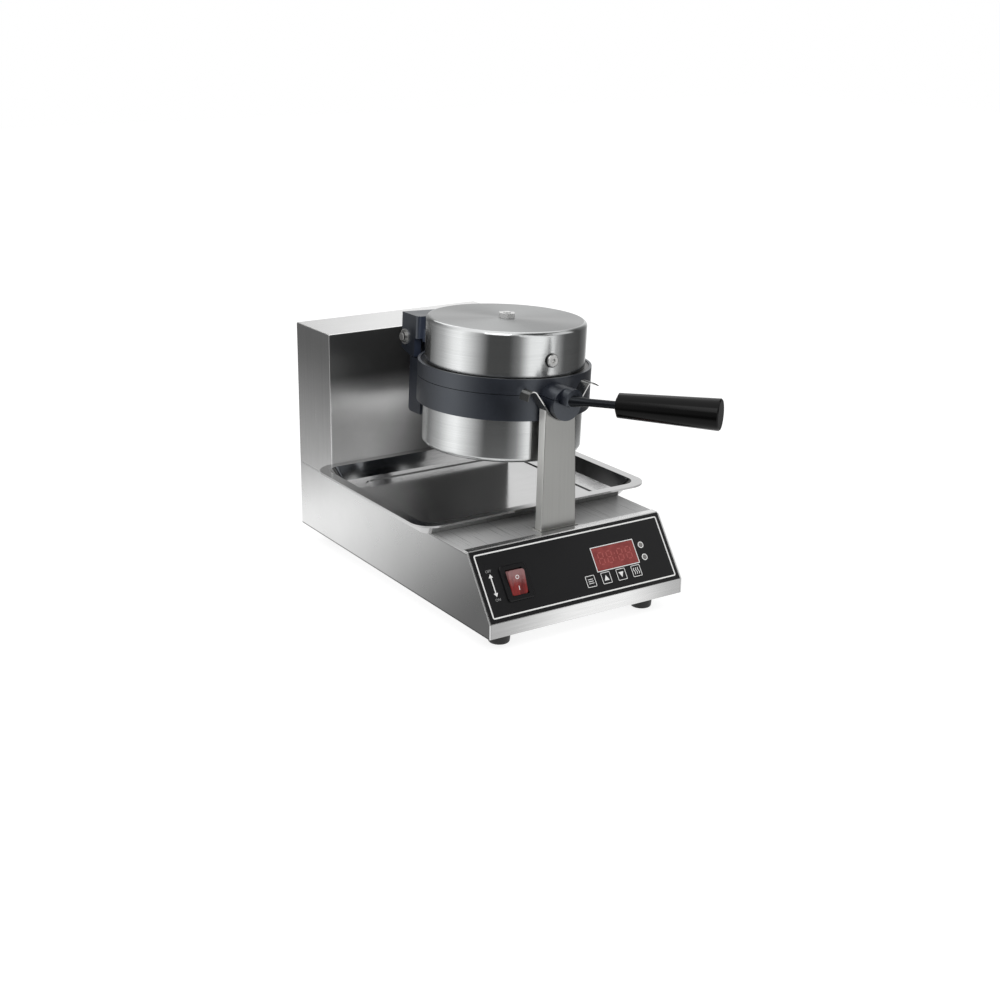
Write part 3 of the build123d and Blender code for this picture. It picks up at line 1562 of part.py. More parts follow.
with BuildPart() as shaft_collar:
    with BuildSketch(facing(collar_front_y)):
        Circle(collar_radius)
        with Locations((stop_arm_reach / 2, 0)):
            Rectangle(stop_arm_reach, stop_arm_thickness)
        Circle(shaft_radius, mode=Mode.SUBTRACT)
    extrude(amount=-collar_width)
save(shaft_collar, "shaft_collar", iron_place)
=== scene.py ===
from math import cos, hypot, pi, radians, sin

import bmesh
import bpy
from mathutils import Matrix, Vector


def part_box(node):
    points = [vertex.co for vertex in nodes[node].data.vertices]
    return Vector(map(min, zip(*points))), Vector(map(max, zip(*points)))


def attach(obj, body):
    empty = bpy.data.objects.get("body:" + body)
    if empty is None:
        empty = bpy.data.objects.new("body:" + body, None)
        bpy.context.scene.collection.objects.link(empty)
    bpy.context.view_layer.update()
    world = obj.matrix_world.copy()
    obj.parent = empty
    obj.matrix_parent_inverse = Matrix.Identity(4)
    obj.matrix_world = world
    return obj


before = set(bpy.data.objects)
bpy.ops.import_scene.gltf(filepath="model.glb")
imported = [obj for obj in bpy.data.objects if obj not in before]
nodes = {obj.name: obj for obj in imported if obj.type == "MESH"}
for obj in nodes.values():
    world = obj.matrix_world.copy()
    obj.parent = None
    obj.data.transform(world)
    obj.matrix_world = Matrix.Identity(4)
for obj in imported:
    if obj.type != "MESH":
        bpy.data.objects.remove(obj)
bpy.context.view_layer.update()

scene = bpy.context.scene
scene.view_settings.view_transform = "Standard"

# The panel's lip, at the operator's side, from which places towards the back are measured
LIP_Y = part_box("front_panel")[0][1]

# Camera, recovered from the photograph's perspective: pixels, degrees, and metres from the lip
CAMERA_FOCAL = 1561.971
CAMERA_CENTRE = (463.357, 442.947)
CAMERA_AZIMUTH = -31.972
CAMERA_ELEVATION = 16.409
CAMERA_ROLL = 0.12
CAMERA_FROM_LIP = Vector((-0.923149, -1.227854, 0.659217))
CAMERA_SIGHT = 50.0
PICTURE = 1000.0         # width in pixels
SENSOR = 36.0            # width in millimetres

# The iron: the height of its axis, and its own up, which leans with it
AXIS_Z = 0.239
IRON_LEAN = radians(2.66)
IRON_UP = (sin(IRON_LEAN), 0.0, cos(IRON_LEAN))


def make_camera():
    """Camera at the photograph's place, its principal point set by the shift."""
    data = bpy.data.cameras.new("camera")
    data.sensor_width = SENSOR
    data.lens = CAMERA_FOCAL / PICTURE * SENSOR
    data.shift_x = (PICTURE / 2 - CAMERA_CENTRE[0]) / PICTURE
    data.shift_y = (CAMERA_CENTRE[1] - PICTURE / 2) / PICTURE
    data.clip_end = CAMERA_SIGHT
    camera = bpy.data.objects.new("camera", data)
    scene.collection.objects.link(camera)
    azimuth, elevation = radians(CAMERA_AZIMUTH), radians(CAMERA_ELEVATION)
    roll = radians(CAMERA_ROLL)
    back = Vector((sin(azimuth) * cos(elevation), -cos(azimuth) * cos(elevation), sin(elevation)))
    right = (-back).cross(Vector((0, 0, 1))).normalized()
    up = right.cross(-back)
    turned_right = right * cos(roll) + up * sin(roll)
    turned_up = -right * sin(roll) + up * cos(roll)
    place = Matrix((turned_right, turned_up, back)).transposed().to_4x4()
    place.translation = CAMERA_FROM_LIP + Vector((0, LIP_Y, 0))
    camera.matrix_world = place
    scene.camera = camera


make_camera()


# Shader nodes

# Each side's axis, and which way along it the side looks
SIDES = {
    "left": ("X", -1.0), "right": ("X", 1.0), "front": ("Y", -1.0), "back": ("Y", 1.0),
    "top": ("Z", 1.0),
}
TURNED = (0.6, 0.9)          # how squarely a face looks to a side to count a little, and in full
NOISE_MIDDLE = (0.3, 0.7)    # where most of a noise's values lie


class Graph:
    """Short calls for a shader's nodes. An input takes a value or another node's output."""

    def __init__(self, tree):
        self.tree = tree
        self.tree.nodes.clear()

    def feed(self, node, inputs):
        for key, value in inputs.items():
            if isinstance(value, bpy.types.NodeSocket):
                self.tree.links.new(value, node.inputs[key])
            else:
                node.inputs[key].default_value = value

    def add(self, kind, inputs=None, **settings):
        node = self.tree.nodes.new(kind)
        for key, value in settings.items():
            setattr(node, key, value)
        self.feed(node, inputs or {})
        return node

    def math(self, operation, *values, clamp=False):
        inputs = dict(enumerate(values))
        return self.add("ShaderNodeMath", inputs, operation=operation, use_clamp=clamp).outputs[0]

    def product(self, factors):
        total = factors[0]
        for factor in factors[1:]:
            total = self.math("MULTIPLY", total, factor)
        return total

    def measure(self, operation, vector, fixed):
        """Dot product with a fixed vector, or distance from a fixed point."""
        node = self.add("ShaderNodeVectorMath", {0: vector, 1: fixed}, operation=operation)
        return node.outputs["Value"]

    def parts(self, vector):
        """A vector's X, Y and Z."""
        return self.add("ShaderNodeSeparateXYZ", {"Vector": vector}).outputs

    def coordinate(self, which):
        return self.add("ShaderNodeTexCoord").outputs[which]

    def object_point(self, scale=(1, 1, 1)):
        point = self.coordinate("Object")
        return self.add("ShaderNodeMapping", {"Vector": point, "Scale": scale}).outputs["Vector"]

    def noise(self, scale=1.0, stretch=(1, 1, 1), detail=3.0, roughness=0.55):
        """Noise with a grain of 1/scale metres, finer along an axis where stretch is larger."""
        point = self.object_point(stretch)
        inputs = {"Vector": point, "Scale": scale, "Detail": detail, "Roughness": roughness}
        return self.add("ShaderNodeTexNoise", inputs).outputs["Fac"]

    def spread(self, value, low_in, high_in, low_out=0.0, high_out=1.0, easing="LINEAR"):
        """Value carried from one range to another, and held at that range's ends."""
        inputs = {
            "Value": value, "From Min": low_in, "From Max": high_in,
            "To Min": low_out, "To Max": high_out,
        }
        node = self.add("ShaderNodeMapRange", inputs, clamp=True, interpolation_type=easing)
        return node.outputs["Result"]

    def swing(self, noise, low=0.0, high=1.0):
        """Noise that swings over the whole of a range."""
        return self.spread(noise, *NOISE_MIDDLE, low, high)

    def along(self, start, end, low, high):
        """Value that eases from low at one point to high at another, level across that line."""
        start, end = Vector(start), Vector(end)
        way = (end - start) / (end - start).length_squared
        reached = self.measure("DOT_PRODUCT", self.object_point(), way)
        return self.spread(reached, start.dot(way), start.dot(way) + 1.0, low, high, "SMOOTHSTEP")

    def facing(self, side):
        """One on faces turned to a side, nought on the others."""
        axis, sign = SIDES[side]
        normal = self.parts(self.coordinate("Normal"))
        return self.spread(self.math("MULTIPLY", normal[axis], sign), *TURNED)

    def tone(self, painted_tones):
        """Painted shade and light, the product of tones: each is (side, start, end, low, high)."""
        factors = []
        for side, start, end, low, high in painted_tones:
            change = self.math("SUBTRACT", self.along(start, end, low, high), 1.0)
            factors.append(self.math("ADD", self.math("MULTIPLY", change, self.facing(side)), 1.0))
        return self.product(factors)

    def shine(self, matt):
        """How metallic the faces are: each of matt is (side, loss)."""
        factors = [
            self.math("SUBTRACT", 1.0, self.math("MULTIPLY", self.facing(side), loss))
            for side, loss in matt
        ]
        return self.product(factors) if factors else 1.0

    def scaled(self, colour, factor):
        inputs = {0: colour, "Scale": factor}
        return self.add("ShaderNodeVectorMath", inputs, operation="SCALE").outputs["Vector"]

    def bump(self, height, strength, distance):
        inputs = {"Height": height, "Strength": strength, "Distance": distance}
        return self.add("ShaderNodeBump", inputs).outputs["Normal"]

    def mix_colour(self, factor, first, second):
        node = self.add("ShaderNodeMix", {"Factor": factor}, data_type="RGBA")
        keys = [index for index, socket in enumerate(node.inputs) if socket.type == "RGBA"]
        self.feed(node, dict(zip(keys, (first, second))))
        return next(socket for socket in node.outputs if socket.type == "RGBA")

    def mix_shader(self, factor, first, second):
        return self.add("ShaderNodeMixShader", {"Fac": factor, 1: first, 2: second}).outputs[0]

    def in_gloss(self, light_path):
        """One where a surface is seen in a reflection or through glass."""
        return self.math("MAXIMUM", light_path["Is Glossy Ray"], light_path["Is Transmission Ray"])


def grey(value):
    return (value, value, value, 1.0)


def tinted(colour, factor):
    return tuple(min(1.0, channel * factor) for channel in colour) + (1.0,)


def start_material(name):
    material = bpy.data.materials.new(name)
    material.use_nodes = True
    graph = Graph(material.node_tree)
    shader = graph.add("ShaderNodeBsdfPrincipled")
    graph.add("ShaderNodeOutputMaterial", {"Surface": shader.outputs["BSDF"]})
    return material, graph, shader


# Kinds of material

METAL_TINTS = (0.6, 1.4)             # shares of a metal's colour that its streaks and clouds mix
STREAK_RANGE = (0.25, 0.75)          # streak values that carry the sheet's roughness
DRUM_SIDE_STREAKS = (6, 6, 1700)     # rings: long round the axis, fine along it
DRUM_END_STREAKS = (30, 1500, 40)    # straight lines from side to side
DRUM_END_TURN = (0.93, 0.99)         # how squarely a face looks up at the edge of the end, and on it
FLANGE_REACH = (0.0219, 0.0221)      # from the iron's middle plane to the flange's edge
FLANGE_PAINTED_SHADE = 0.05
# A ring of painted shade, for a recess round a screw or washer head: its soft edge, and its tone
SHADE_RING_EDGE = 0.0003
SHADE_RING_TONE = 0.03
COATING_WORN = (0.35, 0.68)          # patch values from which the coating is worn, and worn through
COATING_SWING = (-0.05, 0.07)        # how far the patches take its roughness
COATING_TINT = (0.86, 0.92, 1.0, 1.0)
# Painted light on the bracket's front faces: where it begins and is full, and how much it lifts
PAINTED_LIGHT_BEFORE = (0.012, 0.002)         # from where to where before the bracket its front pales
PAINTED_LIGHT_LIFT = 3.5
MOULDED_SWING = (0.90, 1.12)         # shares of a moulding's roughness
ROCKER_DEEP = (0.13, 0.008, 0.008, 1)
ROCKER_RIB = (0.28, 0.02, 0.018, 1)
ROCKER_FROST = (0.36, 0.20, 0.20, 1)
WINDOW_DEEP = (0.23, 0.028, 0.026, 1)
WINDOW_PALE = (0.33, 0.05, 0.045, 1)


def streaked(graph, colour, streaks, streak, clouds, cloud):
    """A metal's colour, which streaks and clouds darken and lighten, each by its own swing."""
    streaky = graph.swing(streaks, -streak, streak)
    shade = graph.math("ADD", streaky, graph.swing(clouds, -cloud, cloud))
    factor = graph.math("ADD", shade, 0.5, clamp=True)
    dark, pale = (tinted(colour, share) for share in METAL_TINTS)
    return graph.mix_colour(factor, dark, pale)


def brushed_metal(
    name, colour, rough, stretch, streak=0.10, cloud=0.06, spread=0.06, painted_tones=(), matt=()
):
    """Brushed sheet, streaked in colour, roughness and bump, with painted shade and light and
    dulling by sides.
    """
    material, graph, shader = start_material(name)
    streaks = graph.noise(stretch=stretch, detail=4.0, roughness=0.7)
    clouds = graph.noise(scale=9.0, detail=2.0)
    base = streaked(graph, colour, streaks, streak, clouds, cloud)
    # Painted shade and painted light by sides
    if painted_tones:
        base = graph.scaled(base, graph.tone(painted_tones))
    graph.feed(shader, {
        "Base Color": base,
        "Metallic": graph.shine(matt),
        "Roughness": graph.spread(streaks, *STREAK_RANGE, rough - spread, rough + spread),
        "Normal": graph.bump(streaks, strength=0.10, distance=0.0003),
    })
    return material


def spun_metal(name, colour, rough, painted_end_shade, rough_end):
    """Spun drum: fine streaks, in rings round the axis on the side and straight on the flat end;
    painted shade on the ends and the flange.
    """
    material, graph, shader = start_material(name)
    normal = graph.parts(graph.coordinate("Normal"))
    on_end = graph.spread(graph.math("ABSOLUTE", normal["Z"]), *DRUM_END_TURN)
    side = graph.noise(stretch=DRUM_SIDE_STREAKS, detail=4.0, roughness=0.7)
    flat = graph.noise(stretch=DRUM_END_STREAKS, detail=4.0, roughness=0.7)
    mixer = graph.add("ShaderNodeMix", {"Factor": on_end, "A": side, "B": flat}, data_type="FLOAT")
    streaks = mixer.outputs["Result"]
    clouds = graph.noise(scale=14.0, detail=2.0)
    base = streaked(graph, colour, streaks, 0.09, clouds, 0.04)
    # Painted shade darkens the flat ends
    base = graph.scaled(base, graph.spread(on_end, 0.0, 1.0, 1.0, painted_end_shade))
    # Painted shade darkens the flange inside the ring
    height = graph.measure("DOT_PRODUCT", graph.object_point(), IRON_UP)
    from_middle = graph.math("ABSOLUTE", graph.math("SUBTRACT", height, AXIS_Z * IRON_UP[2]))
    base = graph.scaled(base, graph.spread(from_middle, *FLANGE_REACH, FLANGE_PAINTED_SHADE, 1.0))
    tangent = graph.add("ShaderNodeTangent", direction_type="RADIAL", axis="Z")
    graph.feed(shader, {
        "Base Color": base,
        "Metallic": 1.0,
        "Roughness": graph.spread(on_end, 0.0, 1.0, rough, rough_end),
        "Anisotropic": 0.75,
        "Anisotropic Rotation": 0.25,
        "Tangent": tangent.outputs["Tangent"],
        "Normal": graph.bump(streaks, strength=0.08, distance=0.0002),
    })
    return material


def ringed_steel(name, colour, centres, shade_ring):
    """Bright turned steel, with a dark ring of painted shade, for a recess, at a distance from the
    nearer of two centres.
    """
    material, graph, shader = start_material(name)
    gaps = [graph.measure("DISTANCE", graph.object_point(), centre) for centre in centres]
    nearest = graph.math("MINIMUM", *gaps)
    inner, outer = shade_ring
    past_inner = graph.spread(nearest, inner - SHADE_RING_EDGE, inner + SHADE_RING_EDGE)
    before_outer = graph.spread(nearest, outer - SHADE_RING_EDGE, outer + SHADE_RING_EDGE, 1.0, 0.0)
    grain = graph.noise(scale=700.0)
    bright = graph.mix_colour(graph.swing(grain), tinted(colour, 0.85), tinted(colour, 1.1))
    in_shade_ring = graph.math("MULTIPLY", past_inner, before_outer)
    graph.feed(shader, {
        "Base Color": graph.mix_colour(in_shade_ring, bright, grey(SHADE_RING_TONE)),
        "Metallic": 0.8,
        "Roughness": graph.swing(grain, 0.25, 0.38),
        "Normal": graph.bump(grain, strength=0.06, distance=0.0002),
    })
    return material


def coated_casting(name, colour, rough=0.34, sheen=1.0, bracket_front=None):
    """Dark slate coating with a fine pebble and worn patches, and painted light on a bracket's front
    faces.
    """
    material, graph, shader = start_material(name)
    grain = graph.noise(scale=900.0)
    patches = graph.noise(scale=26.0, detail=4.0)
    worn = graph.spread(patches, *COATING_WORN)
    base = graph.mix_colour(worn, tinted(colour, 0.8), tinted(colour, 1.25))
    # Painted light brightens the bracket's front faces
    if bracket_front is not None:
        start, end = ((0, bracket_front - before, 0) for before in PAINTED_LIGHT_BEFORE)
        reached = graph.along(start, end, 0.0, 1.0)
        on_front = graph.math("MULTIPLY", reached, graph.facing("front"))
        lift = graph.math("MULTIPLY", on_front, PAINTED_LIGHT_LIFT)
        base = graph.scaled(base, graph.math("ADD", lift, 1.0))
    smooth, coarse = (rough + change for change in COATING_SWING)
    graph.feed(shader, {
        "Base Color": base,
        "Specular IOR Level": sheen,
        "Specular Tint": COATING_TINT,
        "Roughness": graph.swing(patches, smooth, coarse),
        "Normal": graph.bump(grain, strength=0.12, distance=0.0003),
    })
    return material


def moulded(name, colour, rough, sheen=0.5, grain_scale=700.0, grain=0.05, variation=0.15):
    """Plastic or rubber with a faint moulding texture."""
    material, graph, shader = start_material(name)
    fine = graph.noise(scale=grain_scale, detail=2.0)
    broad = graph.noise(scale=20.0)
    dark, pale = tinted(colour, 1 - variation), tinted(colour, 1 + variation)
    smooth, coarse = (rough * share for share in MOULDED_SWING)
    graph.feed(shader, {
        "Base Color": graph.mix_colour(graph.swing(broad), dark, pale),
        "Roughness": graph.swing(broad, smooth, coarse),
        "Specular IOR Level": sheen,
        "Normal": graph.bump(fine, strength=grain, distance=0.0002),
    })
    return material


def ink(name, colour, glow):
    """Printed mark with a slightly uneven tone and a faint painted glow."""
    material, graph, shader = start_material(name)
    mottled = graph.swing(graph.noise(scale=1200.0, detail=2.0))
    graph.feed(shader, {
        "Base Color": graph.mix_colour(mottled, tinted(colour, 0.9), tinted(colour, 1.05)),
        "Roughness": 0.55,
        # Painted glow: the print gives off light of its own
        "Emission Color": tinted(colour, 1.0),
        "Emission Strength": glow,
    })
    return material


def rocker_material(low_z, high_z):
    """Translucent red rocker, frosted towards its raised end, with ribs that show from inside, and a
    faint painted glow.
    """
    material, graph, shader = start_material("rocker_red")
    rise = graph.spread(graph.parts(graph.coordinate("Object"))["Z"], low_z, high_z)
    speckle = graph.noise(scale=520.0, detail=4.0)
    ribs = graph.noise(stretch=(420, 30, 30), detail=2.0)
    wobble = graph.math("ADD", rise, graph.swing(speckle, -0.10, 0.10))
    frosted = graph.spread(wobble, 0.45, 0.85, 0.0, 0.85)
    deep = graph.mix_colour(graph.spread(ribs, 0.4, 0.6), ROCKER_DEEP, ROCKER_RIB)
    base = graph.mix_colour(frosted, deep, ROCKER_FROST)
    # Painted glow: the rocker gives off light of its own
    graph.feed(shader, {
        "Base Color": base, "Emission Color": base, "Emission Strength": 0.10, "Roughness": 0.3,
    })
    return material


def window_material():
    """Red filter over the digits, with a faint painted glow."""
    material, graph, shader = start_material("window_red")
    haze = graph.swing(graph.noise(scale=160.0, detail=4.0))
    base = graph.mix_colour(haze, WINDOW_DEEP, WINDOW_PALE)
    # Painted glow: the filter gives off light of its own
    graph.feed(shader, {
        "Base Color": base, "Emission Color": base, "Emission Strength": 0.12, "Roughness": 0.4,
    })
    return material


def set_material(material, *names):
    for name in names:
        mesh = nodes[name].data
        mesh.materials.clear()
        mesh.materials.append(material)


def rightward(start, end):
    """Two places, between which a tone changes from left to right."""
    return (start, 0, 0), (end, 0, 0)


def upward(start, end):
    """Two places, between which a tone changes with height."""
    return (0, 0, start), (0, 0, end)


# Sheets. Painted shade and painted light darken and lighten their colour across each face, in place
# of the reflections of a bright and a dark side: a tone is (side, start, end, low, high), a factor
# on the colour that goes from low at the first place to high at the second. Matt is (side, loss of
# shine). Places are in metres.

set_material(brushed_metal(
    "cover_steel", (0.92, 0.93, 0.92), 0.30, (900, 14, 14), streak=0.07,
    painted_tones=(
        # Painted shade and light: the side is dark at the lip's foot, brighter up and back, with a
        # dark lower edge of painted shade
        ("left", (0, LIP_Y + 0.020, 0.033), (0, LIP_Y + 0.175, 0.220), 0.14, 1.12),
        ("left", *upward(0.0195, 0.0212), 0.25, 1.0),
        # Painted shade darkens the deck to the right
        ("top", *rightward(-0.12, -0.01), 1.0, 0.62),
    ),
    matt=(("top", 0.85),),
), "base_cover", "base_back")

set_material(brushed_metal(
    "tower_steel", (0.97, 0.97, 0.96), 0.22, (12, 500, 10),
    painted_tones=(
        # Painted shade darkens the left side towards the top
        ("left", *upward(0.10, 0.26), 1.0, 0.26),
        # Painted shade darkens the front under the roof, and low at the right
        ("front", *upward(0.180, 0.222), 1.0, 0.11),
        ("front", (-0.070, 0, 0.150), (0.005, 0, 0.115), 1.0, 0.16),
    ),
    matt=(("left", 0.55), ("front", 0.55)),
), "tower_shell", "tower_back")

set_material(brushed_metal(
    "panel_steel", (0.90, 0.90, 0.89), 0.22, (14, 400, 400),
    painted_tones=(
        # Painted shade darkens the lip towards both ends, and painted light lifts its middle a
        # little
        ("front", *rightward(-0.125, -0.01), 0.54, 1.08),
        ("front", *rightward(0.04, 0.125), 1.08, 0.58),
    ),
), "front_panel")

set_material(brushed_metal(
    "post_steel", (0.62, 0.62, 0.60), 0.34, (300, 300, 6), streak=0.06,
    painted_tones=(
        # Painted shade darkens the front, and painted light brightens the left side towards the top
        ("front", *upward(0.10, 0.22), 0.52, 0.50),
        ("left", *upward(0.10, 0.22), 1.1, 1.4),
    ),
    matt=(("left", 0.6),),
), "post", "post_foot")

set_material(brushed_metal(
    "cradle_steel", (0.62, 0.62, 0.61), 0.22, (20, 300, 20),
    painted_tones=(
        # Painted shade darkens the faces turned to the left
        ("left", *upward(0.1, 0.3), 0.14, 0.14),
        # Painted shade darkens both curled ends
        ("front", *rightward(-0.041, -0.036), 0.12, 1.0),
        ("front", *rightward(0.036, 0.041), 1.0, 0.12),
        ("top", *rightward(-0.040, -0.033), 0.03, 1.0),
        ("top", *rightward(0.033, 0.038), 1.0, 0.0),
        # Painted shade darkens the seat under the hub, and the last tone undoes that to the right of
        # it
        ("front", *rightward(-0.021, -0.015), 1.0, 0.25),
        ("front", *rightward(0.015, 0.021), 1.0, 4.0),
    ),
), "iron_cradle")

set_material(
    brushed_metal("tray_steel", (0.57, 0.57, 0.57), 0.12, (10, 120, 60), streak=0.03, spread=0.03),
    "drip_tray",
)
set_material(brushed_metal("plain_steel", (0.45, 0.45, 0.45), 0.35, (8, 300, 40)), "bottom_plate")

# Spun, cast and machined metal
set_material(
    spun_metal("drum_steel", (0.61, 0.62, 0.62), rough=0.18, painted_end_shade=0.50, rough_end=0.36),
    "upper_drum", "lower_drum",
)
BRACKET_FRONT = LIP_Y + 0.281
set_material(
    coated_casting("coated_casting", (0.010, 0.0125, 0.020), bracket_front=BRACKET_FRONT),
    "upper_ring", "lower_ring",
)
set_material(coated_casting("rod_coating", (0.006, 0.007, 0.009), 0.3, sheen=0.22), "handle_rod")
set_material(
    coated_casting("nonstick_plate", (0.02, 0.02, 0.021)),
    "upper_bubble_plate", "lower_bubble_plate",
)
set_material(
    brushed_metal("machined_steel", (0.42, 0.42, 0.43), 0.28, (60, 900, 60)),
    "bearing_housing", "shaft_collar", "rear_shaft", "turn_stops",
)
set_material(brushed_metal("bush_bronze", (0.50, 0.33, 0.15), 0.3, (60, 900, 60)), "bearing_bush")
set_material(
    brushed_metal("heater_sheath", (0.22, 0.20, 0.19), 0.5, (120, 120, 120)),
    "upper_heater", "lower_heater",
)

# Fasteners. Rings of painted shade, in place of recesses' shade, go round the middles of the hinge
# pin's washer heads and the side screws.
set_material(
    brushed_metal(
        "bright_screw", (0.80, 0.80, 0.79), 0.26, (200, 200, 200), streak=0.05,
        matt=(("left", 0.5), ("front", 0.4), ("top", 0.3)),
    ),
    "rear_screws", "bottom_screws", "foot_screws", "post_bolts", "bearing_screws",
    "upper_plate_screws", "lower_plate_screws", "upper_centre_bolt", "lower_centre_bolt",
    "board_spacers", "tact_switches",
)

pin_low, pin_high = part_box("hinge_pin")
PIN_Y = (pin_low[1] + pin_high[1]) / 2
WASHER_FACE = 0.04525        # from the middle to the face of a washer head
WASHER_Z = 0.2670            # height of the left one's middle
WASHER_DROP = 0.0043         # how much lower the right one's is
WASHER_SHADE_RING = (0.0060, 0.0068)
washer_centres = (
    (-WASHER_FACE, PIN_Y, WASHER_Z), (WASHER_FACE, PIN_Y, WASHER_Z - WASHER_DROP),
)
set_material(
    ringed_steel("washer_steel", (0.62, 0.62, 0.61), washer_centres, WASHER_SHADE_RING),
    "hinge_washers", "hinge_pin",
)

SCREW_FACE_Y = LIP_Y + 0.0756
SCREW_RISE = 0.040           # from the iron's axis, up and down along its own up
SCREW_SHADE_RING = (0.0071, 0.0100)
screw_centres = [
    (side * SCREW_RISE * IRON_UP[0], SCREW_FACE_Y, AXIS_Z + side * SCREW_RISE * IRON_UP[2])
    for side in (-1, 1)
]
set_material(
    ringed_steel("side_screw_steel", (0.70, 0.70, 0.69), screw_centres, SCREW_SHADE_RING),
    "upper_side_screw", "lower_side_screw",
)

# Mouldings: (name, colour, roughness, other settings, nodes)
MOULDINGS = (
    ("black_grip", (0.004, 0.004, 0.004), 0.14, {"sheen": 0.14, "grain": 0.01}, ("handle_grip",)),
    ("black_rubber", (0.014, 0.014, 0.014), 0.5, {"grain": 0.15}, ("feet",)),
    ("panel_black", (0.008, 0.008, 0.009), 0.34, {"sheen": 0.3, "grain": 0.03},
     ("control_overlay",)),
    ("key_black", (0.010, 0.010, 0.011), 0.36, {"sheen": 0.3, "grain": 0.04},
     ("set_key", "up_key", "down_key", "heat_key")),
    ("module_black", (0.02, 0.02, 0.02), 0.5, {}, ("display_module",)),
    ("switch_black", (0.005, 0.005, 0.006), 0.3, {"sheen": 0.3, "grain": 0.06},
     ("switch_housing",)),
    ("terminal_white", (0.75, 0.74, 0.70), 0.5, {}, ("terminal_block",)),
    ("light_lens", (0.30, 0.29, 0.28), 0.22, {}, ("timer_light", "heat_light")),
    ("board_green", (0.02, 0.16, 0.06), 0.35, {}, ("control_board",)),
    ("relay_blue", (0.03, 0.08, 0.30), 0.3, {}, ("power_relay",)),
    ("transformer_core", (0.09, 0.09, 0.10), 0.5, {}, ("transformer",)),
    ("gland_nylon", (0.03, 0.03, 0.03), 0.45, {}, ("cord_gland",)),
    ("mineral_fibre", (0.72, 0.70, 0.62), 0.9, {"grain": 0.6, "grain_scale": 300.0},
     ("upper_insulation", "lower_insulation")),
)
for name, colour, rough, settings, dressed in MOULDINGS:
    set_material(moulded(name, colour, rough, **settings), *dressed)

rocker_low, rocker_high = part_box("power_rocker")
set_material(rocker_material(rocker_low[2], rocker_high[2]), "power_rocker")
set_material(window_material(), "display_window")

# Curved faces are shaded smooth, and flat ones keep the edges that their meshes split
for node in nodes.values():
    for polygon in node.data.polygons:
        polygon.use_smooth = True

# Control panel print. Places and sizes are in millimetres: across from the middle, up the slope
# from the lip, and out of the slope.

PER_METRE = 1000
SLOPE_RISE = radians(55.28654)
SLOPE_FOOT_Z = 0.0348        # metres
PANEL_ORIGIN = Vector((0, LIP_Y, SLOPE_FOOT_Z))
PANEL_ACROSS = Vector((1, 0, 0))
PANEL_UP = Vector((0, cos(SLOPE_RISE), sin(SLOPE_RISE)))
PANEL_OUT = Vector((0, -sin(SLOPE_RISE), cos(SLOPE_RISE)))
INK_DEPTH = 0.1
LEAST_RADIUS = 0.05
LETTER_STEPS = 3
# How far out the printed faces lie
OVERLAY_FACE = 0.5
WINDOW_FACE = 0.8
KEY_FACE = 0.9
ROCKER_FACE = 4.6

ARROW_X, ARROW_LOW, ARROW_HIGH = -106.4, 31.0, 47.6      # its straight stroke
ARROW_LINE = 1.3
ARROW_HALF, ARROW_POINT = 2.6, 4.0                       # its heads' half width and length
LETTER_HEIGHT = 2.9
WINDOW_MIDDLE = (50.1, 41.5)
LIGHT_X = 87.0
LIGHT_ROWS = (46.6, 32.7)
DIGIT_COLUMNS = (-18.3, -7.1, 7.1, 18.3)                 # from the window's middle
DIGIT_WIDTH, DIGIT_HEIGHT, SEGMENT = 6.4, 13.0, 1.3
SEGMENT_GAP = 0.9
COLON_RISE, COLON_RADIUS, COLON_CORNERS = 2.6, 0.8, 12
KEY_ROW = 20.1
MARK_REACH = 3.2                                         # half a key mark's width
BAR_STEP, BAR_LINE = 2.2, 0.7
TRIANGLE_FOOT = 2.8
WAVE_STEP, WAVE_SWING, WAVE_HALF_LINE = 2.7, 0.7, 0.4
WAVE_FOOT, WAVE_RISE, WAVE_POINTS = -3.6, 0.9, 9         # low end, rise from point to point, count
ROCKER_MIDDLE = (-79.0, 37.5)
ROCKER_TILT = radians(13.0)


